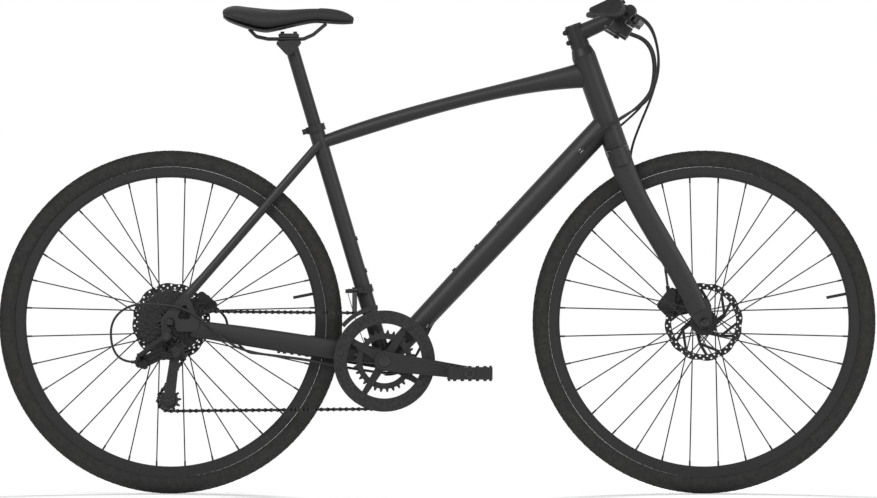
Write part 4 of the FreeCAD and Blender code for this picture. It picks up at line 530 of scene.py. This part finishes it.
def chain_track():
    """Tangent lines and arcs as (length, point function), in the order that the chain runs."""
    wheels = ((BRACKET, pitch_radius(RING_TEETH), 1), (AXLES["rear"], pitch_radius(COG_TEETH), 1),
              (GUIDE, pitch_radius(PULLEY_TEETH), -1), (TENSION, pitch_radius(PULLEY_TEETH), 1))
    runs = []
    for (a, r1, turn_1), (b, r2, turn_2) in zip(wheels, wheels[1:] + wheels[:1]):
        reach = math.hypot(b.x - a.x, b.z - a.z)
        heading = math.atan2(b.z - a.z, b.x - a.x) - math.asin((turn_2 * r2 - turn_1 * r1) / reach)
        normal = heading - math.pi / 2
        runs.append((at_side(a, 0) + around(normal, turn_1 * r1),
                     at_side(b, 0) + around(normal, turn_2 * r2), normal))
    track = []
    for i, (start, end, normal) in enumerate(runs):
        length = (end - start).length
        track.append((length, lambda s, a=start, b=end, n=length: a.lerp(b, s / n)))
        centre, radius, turn = wheels[(i + 1) % len(wheels)]
        flip = 0 if turn > 0 else math.pi
        sweep = (turn * (runs[(i + 1) % len(runs)][2] - normal)) % (2 * math.pi)
        middle = at_side(centre, 0)
        track.append((radius * sweep,
                      lambda s, c=middle, r=radius, a=normal + flip, t=turn: c + around(a + t * s / r, r)))
    return track


def chain_pins():
    """The pins' middles, each one pitch in a straight line from the last."""
    track = chain_track()

    def place(s):
        for length, at in track:
            if s <= length:
                return at(s)
            s -= length
        return track[0][1](s)

    marks = [0.0]
    while len(marks) < CHAIN_LINKS:
        low, high = (marks[-1] + share * PITCH for share in PIN_SEARCH)
        for _ in range(HALVINGS):
            middle = (low + high) / 2
            if (place(middle) - place(marks[-1])).length < PITCH:
                low = middle
            else:
                high = middle
        marks.append(low)
    return [at_side(place(mark), CHAIN_Y) for mark in marks]


def chain():
    """Waisted plates, rollers and riveted pins, link by link."""
    pins = chain_pins()
    half = PITCH / 2
    for kind, first, level, radius, depth in (
            ("inner", 0, INNER_PLATE_Y, ROLLER_RADIUS, 2 * INNER_PLATE_Y),
            ("outer", 1, OUTER_PLATE_Y, PIN_RADIUS, 2 * OUTER_PLATE_Y + PIN_ENDS)):
        plan = NodePlan(f"{kind}_links", Plate_Radius=0.0042, Plate=0.0009, Waist=0.0052, Finish=STEEL)
        parts = []
        for y in (level, -level):
            parts.append(plan.moved(plan.bar(PITCH, plan.size("Plate"), plan.size("Waist")), (0, y, 0)))
            for x in (-half, half):
                cheek = plan.rod(plan.size("Plate_Radius"), plan.size("Plate"), sides=14)
                parts.append(plan.moved(cheek, (x, y, 0), (math.pi / 2, 0, 0)))
        for x in (-half, half):
            parts.append(plan.moved(plan.rod(radius, depth, sides=12), (x, 0, 0), (math.pi / 2, 0, 0)))
        plan.finish(plan.at_points(plan.join(*parts)))
        places = []
        turned = []
        for i in range(first, len(pins), 2):
            here = pins[i]
            there = pins[(i + 1) % len(pins)]
            places.append((here + there) / 2)
            turned.append(turn_to(there - here, (there - here).cross(ACROSS)))
        links = plan.apply(f"{kind}_chain_links", places, turns=turned)
        seat_piece(links, "frame", "dark_steel", *(("chain",) if kind == "inner" else ()))


# saddle
SADDLE_AT = Vector((-0.30245, 0, 0.92775))
# x, half width, top and bottom of each section
SADDLE_STATIONS = ((-0.133, 0.056, 0.057, 0.044), (-0.124, 0.068, 0.062, 0.037),
                   (-0.108, 0.0755, 0.065, 0.030), (-0.078, 0.077, 0.062, 0.020),
                   (-0.048, 0.073, 0.059, 0.0145), (-0.022, 0.060, 0.0577, 0.0185),
                   (0.002, 0.046, 0.058, 0.0240), (0.027, 0.035, 0.0597, 0.0295),
                   (0.052, 0.028, 0.061, 0.0335), (0.078, 0.0245, 0.0603, 0.0325),
                   (0.102, 0.021, 0.057, 0.0310), (0.120, 0.0165, 0.0505, 0.0312),
                   (0.131, 0.011, 0.043, 0.0325))
SADDLE_RINGS = 72
RING_POINTS = 64
EDGE_HEIGHT = 0.36
EDGE_TUCK = 0.1
TOP_FULLNESS = (0.82, 0.9)
SIDE_FULLNESS = 0.5
CHANNEL_WIDTH = 0.011
CHANNEL_REACH = (-0.09, 0.06)
CHANNEL_DEPTH = 0.0035
CHANNEL_RUNOUT = 0.001
END_SHARE = 0.55
END_BULGE = 0.0012
PAN_SHARE = 0.86
PAN_DEPTH = 0.0042
PAN_FLATNESS = 6
PAN_TUCK = 0.0012
PAN_POINTS = 14


def saddle_ring(station):
    """A section of the padding: full above, drawn in below its edge, with a channel along it."""
    x, half_width, top, bottom = station
    height = top - bottom
    edge = bottom + EDGE_HEIGHT * height
    ring = []
    for k in range(RING_POINTS):
        angle = 2 * math.pi * k / RING_POINTS
        c, s = math.cos(angle), math.sin(angle)
        if s >= 0:
            y = half_width * math.copysign(abs(c) ** TOP_FULLNESS[0], c)
            z = edge + (1 - EDGE_HEIGHT) * height * s ** TOP_FULLNESS[1]
        else:
            y = half_width * math.copysign(abs(c) ** SIDE_FULLNESS, c) * (1 - EDGE_TUCK * s * s)
            z = edge + EDGE_HEIGHT * height * s
        depth = CHANNEL_DEPTH if CHANNEL_REACH[0] < x < CHANNEL_REACH[1] else CHANNEL_RUNOUT
        dip = math.exp(-(y / CHANNEL_WIDTH) ** 2) * max(0.0, s) * depth
        ring.append(SADDLE_AT + Vector((x, y, z - dip)))
    return ring


def pan_ring(station):
    """A shallow dish section under the padding, with its edge tucked into it."""
    x, half_width, _, bottom = station
    half = PAN_SHARE * half_width
    upper = []
    lower = []
    for k in range(PAN_POINTS):
        share = 1 - 2 * k / (PAN_POINTS - 1)
        sag = PAN_DEPTH * (1 - share ** PAN_FLATNESS)
        lower.append(SADDLE_AT + Vector((x, half * share, bottom - sag)))
        upper.append(SADDLE_AT + Vector((x, -half * share, bottom + PAN_TUCK)))
    return lower + upper


def between(stations, share):
    """A station at a share of the way along, on a smooth curve through them all."""
    place = share * (len(stations) - 1)
    i = min(int(place), len(stations) - 2)
    t = place - i
    before = stations[max(i - 1, 0)]
    after = stations[min(i + 2, len(stations) - 1)]
    return [0.5 * (2 * b + (c - a) * t + (2 * a - 5 * b + 4 * c - d) * t * t
                   + (3 * b - a - 3 * c + d) * t ** 3)
            for a, b, c, d in zip(before, stations[i], stations[i + 1], after)]


def end_row(ring):
    """A smaller copy of an end ring, a little further out, that rounds the padding's end."""
    middle = sum(ring, Vector()) / len(ring)
    tip = Vector((math.copysign(END_BULGE, middle.x - SADDLE_AT.x), 0, 0))
    return [middle.lerp(point, END_SHARE) + tip for point in ring]


def saddle():
    stations = [between(SADDLE_STATIONS, i / (SADDLE_RINGS - 1)) for i in range(SADDLE_RINGS)]
    rings = [saddle_ring(station) for station in stations]
    rings = [end_row(rings[0]), *rings, end_row(rings[-1])]
    cover = link("saddle_padding", skin("saddle_padding", rings), HIDE)
    seat_piece(cover, "seat", "saddle_cover", "saddle_cover")
    pan = link("saddle_pan", skin("saddle_pan", [pan_ring(station) for station in stations]), PLASTIC)
    seat_piece(pan, "seat", "hard_plastic", "saddle_shell")


# hoses and cables, in metres
DOWN_TUBE_AXIS = Vector((0.682254, 0, 0.731115))
DOWN_TUBE_UNDER = Vector((0.731115, 0, -0.682254))
HOSE_DIAMETER = 0.005
HOUSING_DIAMETER = 0.0048
WIRE_DIAMETER = 0.0016
PORT_SIDE = 0.034
REAR_LINE = 0.012
FRONT_LINE_DROP = 0.009
REAR_PORTS = 0.640
FRONT_PORT = 0.590
TUBE_BEND = 0.08
TUBE_FOOT = 0.15
TUBE_EXIT = (0.062, 0.040)
# routes in millimetres: the solids' points, some of them moved by less than 10,
# so that the curves follow the photo and stay clear of the frame
UNDER_SHELL = (-74.617, 240)
STAY_LINE = ((-180, 27, 255), (-263, 42, 272), (-361, 58, 284))
BRAKE_PORT = ((393.0, 115.4, 978.8), (394.1, 99.8, 978.1))
SHIFT_PORT = ((379.3, 129.3, 940.2), (380.1, 117.7, 939.7))
FRONT_HOSE = (*BRAKE_PORT, (434, 78, 956), (452, 56, 900), (448, 46, 850), (437, 50, 808), (414, 58, 754),
              (396, 72, 706), (393, 72, 672), (412, 70, 612), (447, 67, 545), (465, 67, 490), (464, 58, 458),
              (466.9, 44, 441), (469, 44, 423.1))
FRONT_WIRE = ((-107.8, 0, 242), (-140, -2, 256), (-182.2, -6, 407.5))


def metres(*points):
    return [Vector(point) / 1000 for point in points]


def on_right(points):
    """A left-hand route's points, on the right-hand side."""
    return [(x, -y, z) for x, y, z in points]


def along_down_tube(distance, across, side):
    return BRACKET + DOWN_TUBE_AXIS * distance + DOWN_TUBE_UNDER * across + Vector((0, side, 0))


def through_tube(entry, line, level, distance):
    """From the port in the down tube's side, down inside it, and out under its lower end."""
    return [along_down_tube(distance, level, entry), along_down_tube(distance - TUBE_BEND, level, line),
            along_down_tube(TUBE_FOOT, level, line), along_down_tube(*TUBE_EXIT, line)]


def cord_routes():
    ahead, below = UNDER_SHELL
    hose_front = metres(*on_right(BRAKE_PORT), (434, -78, 956), (450, -46, 900), (450, -14, 850),
                        (430, 8, 798), (390, 32, 775))
    hose_rear = metres((ahead, 12, below), *STAY_LINE, (-388, 74, 286), (-413, 80, 310), (-428, 72, 340),
                       (-432, 54, 361), (-446.1, 52, 372.6))
    rear_front = metres(*on_right(SHIFT_PORT), (429, -100, 922), (446, -70, 876), (436, -40, 815),
                        (386, -34, 768))
    rear_loop = metres((ahead, -12, below), *on_right(STAY_LINE), (-420, -72, 300), (-500, -82, 376),
                       (-575, -80, 387), (-628, -71, 384), (-663, -66, 352), (-663, -62, 300),
                       (-642, -59, 269), (-616, -59, 268))
    front_front = metres(*SHIFT_PORT, (429, 100, 922), (444, 74, 872), (432, 40, 803), (372, 36, 746))
    front_rear = metres((ahead, 0, below), (BRACKET.x * 1000, 0, below + 2))
    return (("rear_brake_hose", HOSE_DIAMETER,
             hose_front + through_tube(PORT_SIDE, REAR_LINE, 0, REAR_PORTS) + hose_rear),
            ("rear_shift_housing", HOUSING_DIAMETER,
             rear_front + through_tube(-PORT_SIDE, -REAR_LINE, 0, REAR_PORTS) + rear_loop),
            ("front_shift_housing", HOUSING_DIAMETER,
             front_front + through_tube(PORT_SIDE, 0, FRONT_LINE_DROP, FRONT_PORT) + front_rear))


def cord(name, route, diameter, finish, sides=12):
    """A round cord along the curve that its route controls, and the points that it follows."""
    line = smooth_line(name, route)
    return link(name, tube(name, line, diameter / 2, sides), finish), line


def cables():
    for name, diameter, route in cord_routes():
        cable, line = cord(name, route, diameter, PLASTIC)
        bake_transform(cable)
    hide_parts("control_cables")
    wire, line = cord("front_shift_wire", metres(*FRONT_WIRE), WIRE_DIAMETER, STEEL, sides=8)
    seat_piece(wire, "frame", "dark_steel")
    hose, line = cord("front_hose", metres(*FRONT_HOSE), HOSE_DIAMETER, PLASTIC)
    seat_piece(hose, "steering", "hard_plastic", "front_brake_hose")


# the rear housing's adjuster, and bolt heads and caps on the ends of the solids' bolts and axles
BARREL_START = Vector((-0.622, -0.059, 0.2681))
BARREL_PROFILE = ((0, 0.0022), (0, 0.0033), (0.007, 0.0033), (0.0072, 0.0044), (0.0155, 0.0044),
                  (0.0157, 0.0030), (0.024, 0.0030))
BARREL_POINTS = 48
KNURL_FROM = 0.004
KNURL_SHARE = 0.93
KNURL_POINTS = 4
SPIDER_ARMS = 4
SPIDER_TURN = math.radians(58)
RING_BOLT_CIRCLE = 0.084
RING_BOLT_Y = 0.0626
CRANK_BOLT_Y = 0.0789
PEDAL_END_Y = 0.1759
HANGER_BOLT = AXLES["rear"] + Vector((-0.008, -0.0945, -0.028))
TENSION_BOLT = TENSION + Vector((0, -0.0059, 0))
SOCKET_SHARE = 0.55
SOCKET_LEVEL = 0.8


def shift_barrel():
    """The knurled adjuster between the rear housing's end and the derailleur's knuckle."""
    rings = []
    for along, radius in BARREL_PROFILE:
        ring = []
        for k in range(BARREL_POINTS):
            angle = 2 * math.pi * k / BARREL_POINTS
            groove = radius > KNURL_FROM and k % KNURL_POINTS < KNURL_POINTS / 2
            reach = radius * (KNURL_SHARE if groove else 1)
            ring.append(BARREL_START + Vector((along, reach * math.cos(angle), reach * math.sin(angle))))
        rings.append(ring)
    barrel = link("shift_barrel", skin("shift_barrel", rings), STEEL)
    for face in barrel.data.polygons:
        face.use_smooth = False
    seat_piece(barrel, "frame", "dark_steel")


def socket_heads(name, body, places, facing, radius, height):
    """Low round heads with a hexagon socket, each standing on a point and facing outward."""
    plan = NodePlan(f"{name}_plan", Radius=radius, Height=height, Socket=radius * SOCKET_SHARE,
                    Finish=BRIGHT_STEEL)
    head = plan.moved(plan.rod(plan.size("Radius"), plan.size("Height"), sides=28), (0, 0, height / 2))
    key = plan.moved(plan.rod(plan.size("Socket"), plan.size("Height"), sides=6),
                     (0, 0, height * SOCKET_LEVEL))
    sunk = plan.node("GeometryNodeMeshBoolean", {"Mesh 1": head, "Mesh 2": key}, operation="DIFFERENCE")
    plan.finish(plan.at_points(sunk.outputs["Mesh"]))
    heads = plan.apply(name, places, turns=[turn_to(Vector((1, 0, 0)), facing)] * len(places))
    seat_piece(heads, body, "dark_steel")


def bolt_heads():
    ring = [BRACKET + around(SPIDER_TURN + 2 * math.pi * i / SPIDER_ARMS, RING_BOLT_CIRCLE, -RING_BOLT_Y)
            for i in range(SPIDER_ARMS)]
    right_pedal = at_side(PIVOTS["right_pedal_spin"], -PEDAL_END_Y)
    left_pedal = at_side(PIVOTS["left_pedal_spin"], PEDAL_END_Y)
    for name, body, places, side, radius, height in (
            ("ring_bolt_heads", "crank", ring, -1, 0.0055, 0.0018),
            ("right_crank_bolt", "crank", [at_side(BRACKET, -CRANK_BOLT_Y)], -1, 0.0115, 0.0030),
            ("left_crank_bolt", "crank", [at_side(BRACKET, CRANK_BOLT_Y)], 1, 0.0115, 0.0030),
            ("hanger_bolt_head", "frame", [HANGER_BOLT], -1, 0.0070, 0.0022),
            ("tension_pulley_bolt", "chain_cage", [TENSION_BOLT], -1, 0.0045, 0.0020),
            ("right_pedal_cap", "right_pedal", [right_pedal], -1, 0.0105, 0.0030),
            ("left_pedal_cap", "left_pedal", [left_pedal], 1, 0.0105, 0.0030)):
        socket_heads(name, body, places, ACROSS * side, radius, height)


# stage: a far camera with a long lens, because the photo shows hardly any perspective
WHITE = (1, 1, 1, 1)
VIEW_WIDTH = 1.7847
VIEW_CENTRE = Vector((0.0022, 0, 0.4976))
LENS = 600
SENSOR = 36
VIEW_END = 100
WORLD_LIGHT = 0.27
FLOOR_HALF = 6
PAPER = (0.92, 0.92, 0.92, 1)
PAPER_ROUGHNESS = 0.9
# metres from the floor's middle between which its shadow fades, and the shares of white there
SHADOW_FADE = (("From Min", 0.9), ("From Max", 2.2), ("To Min", 0.1), ("To Max", 1.0))
# place, watts, size, and whether surfaces mirror it: the lamp behind is there for the floor's shadow,
# and mirrored it would glitter on every far edge
LAMPS = {"key_light": ((-1.6, -3.4, 2.6), 92, 2.2, True),
         "fill_light": ((2.8, -2.4, 2.2), 54, 2.6, True),
         "rear_light": ((0.2, 4.2, 1.6), 350, 0.9, False)}


def seen_directly(tree):
    """One for what the lens sees, straight or in metal and glass, and zero for light on other surfaces."""
    path = tree.nodes.new("ShaderNodeLightPath")
    total = path.outputs["Is Camera Ray"]
    for ray in ("Is Glossy Ray", "Is Transmission Ray"):
        larger = tree.nodes.new("ShaderNodeMath")
        larger.operation = "MAXIMUM"
        tree.links.new(total, larger.inputs[0])
        tree.links.new(path.outputs[ray], larger.inputs[1])
        total = larger.outputs["Value"]
    return total


def white_paper():
    """Paper that the lens sees as white, with the bicycle's shadow kept near it."""
    paper = bpy.data.materials.new("white_paper")
    paper.use_nodes = True
    tree = paper.node_tree
    surface = tree.nodes["Principled BSDF"]
    surface.inputs["Base Color"].default_value = PAPER
    surface.inputs["Roughness"].default_value = PAPER_ROUGHNESS
    surface.inputs["Specular IOR Level"].default_value = 0.0
    glow = tree.nodes.new("ShaderNodeEmission")
    place = tree.nodes.new("ShaderNodeTexCoord")
    away = tree.nodes.new("ShaderNodeVectorMath")
    away.operation = "LENGTH"
    tree.links.new(place.outputs["Object"], away.inputs[0])
    fade = tree.nodes.new("ShaderNodeMapRange")
    tree.links.new(away.outputs["Value"], fade.inputs["Value"])
    for socket, value in SHADOW_FADE:
        fade.inputs[socket].default_value = value
    share = tree.nodes.new("ShaderNodeMath")
    share.operation = "MULTIPLY"
    tree.links.new(seen_directly(tree), share.inputs[0])
    tree.links.new(fade.outputs["Result"], share.inputs[1])
    mix = tree.nodes.new("ShaderNodeMixShader")
    tree.links.new(share.outputs["Value"], mix.inputs["Fac"])
    tree.links.new(surface.outputs["BSDF"], mix.inputs[1])
    tree.links.new(glow.outputs["Emission"], mix.inputs[2])
    tree.links.new(mix.outputs["Shader"], tree.nodes["Material Output"].inputs["Surface"])
    return paper


def white_world():
    """White to the lens, and a soft light on the bicycle."""
    world = bpy.data.worlds.new("studio")
    world.use_nodes = True
    tree = world.node_tree
    light = tree.nodes["Background"]
    light.inputs["Color"].default_value = WHITE
    light.inputs["Strength"].default_value = WORLD_LIGHT
    white = tree.nodes.new("ShaderNodeBackground")
    white.inputs["Color"].default_value = WHITE
    mix = tree.nodes.new("ShaderNodeMixShader")
    tree.links.new(seen_directly(tree), mix.inputs["Fac"])
    tree.links.new(light.outputs["Background"], mix.inputs[1])
    tree.links.new(white.outputs["Background"], mix.inputs[2])
    tree.links.new(mix.outputs["Shader"], tree.nodes["World Output"].inputs["Surface"])
    return world


def stage():
    scene = bpy.context.scene
    scene.view_settings.view_transform = "Standard"
    scene.world = white_world()

    floor_mesh = bpy.data.meshes.new("floor")
    shape = bmesh.new()
    bmesh.ops.create_grid(shape, x_segments=1, y_segments=1, size=FLOOR_HALF)
    shape.to_mesh(floor_mesh)
    shape.free()
    link("floor", floor_mesh, white_paper())

    for name, (place, power, size, mirrored) in LAMPS.items():
        lamp = bpy.data.lights.new(name, "AREA")
        lamp.energy = power
        lamp.size = size
        thing = bpy.data.objects.new(name, lamp)
        thing.visible_glossy = mirrored
        thing.location = place
        thing.rotation_euler = (VIEW_CENTRE - Vector(place)).to_track_quat("-Z", "Y").to_euler()
        scene.collection.objects.link(thing)

    camera = bpy.data.cameras.new("camera")
    camera.lens = LENS
    camera.sensor_width = SENSOR
    camera.clip_end = VIEW_END
    thing = bpy.data.objects.new("camera", camera)
    thing.location = VIEW_CENTRE - ACROSS * (VIEW_WIDTH * LENS / SENSOR)
    thing.rotation_euler = (math.pi / 2, 0, 0)
    scene.collection.objects.link(thing)
    scene.camera = thing


dress_nodes()
for wheel in AXLES:
    tyre(wheel)
    spokes(wheel)
chain()
saddle()
cables()
shift_barrel()
bolt_heads()
stage()
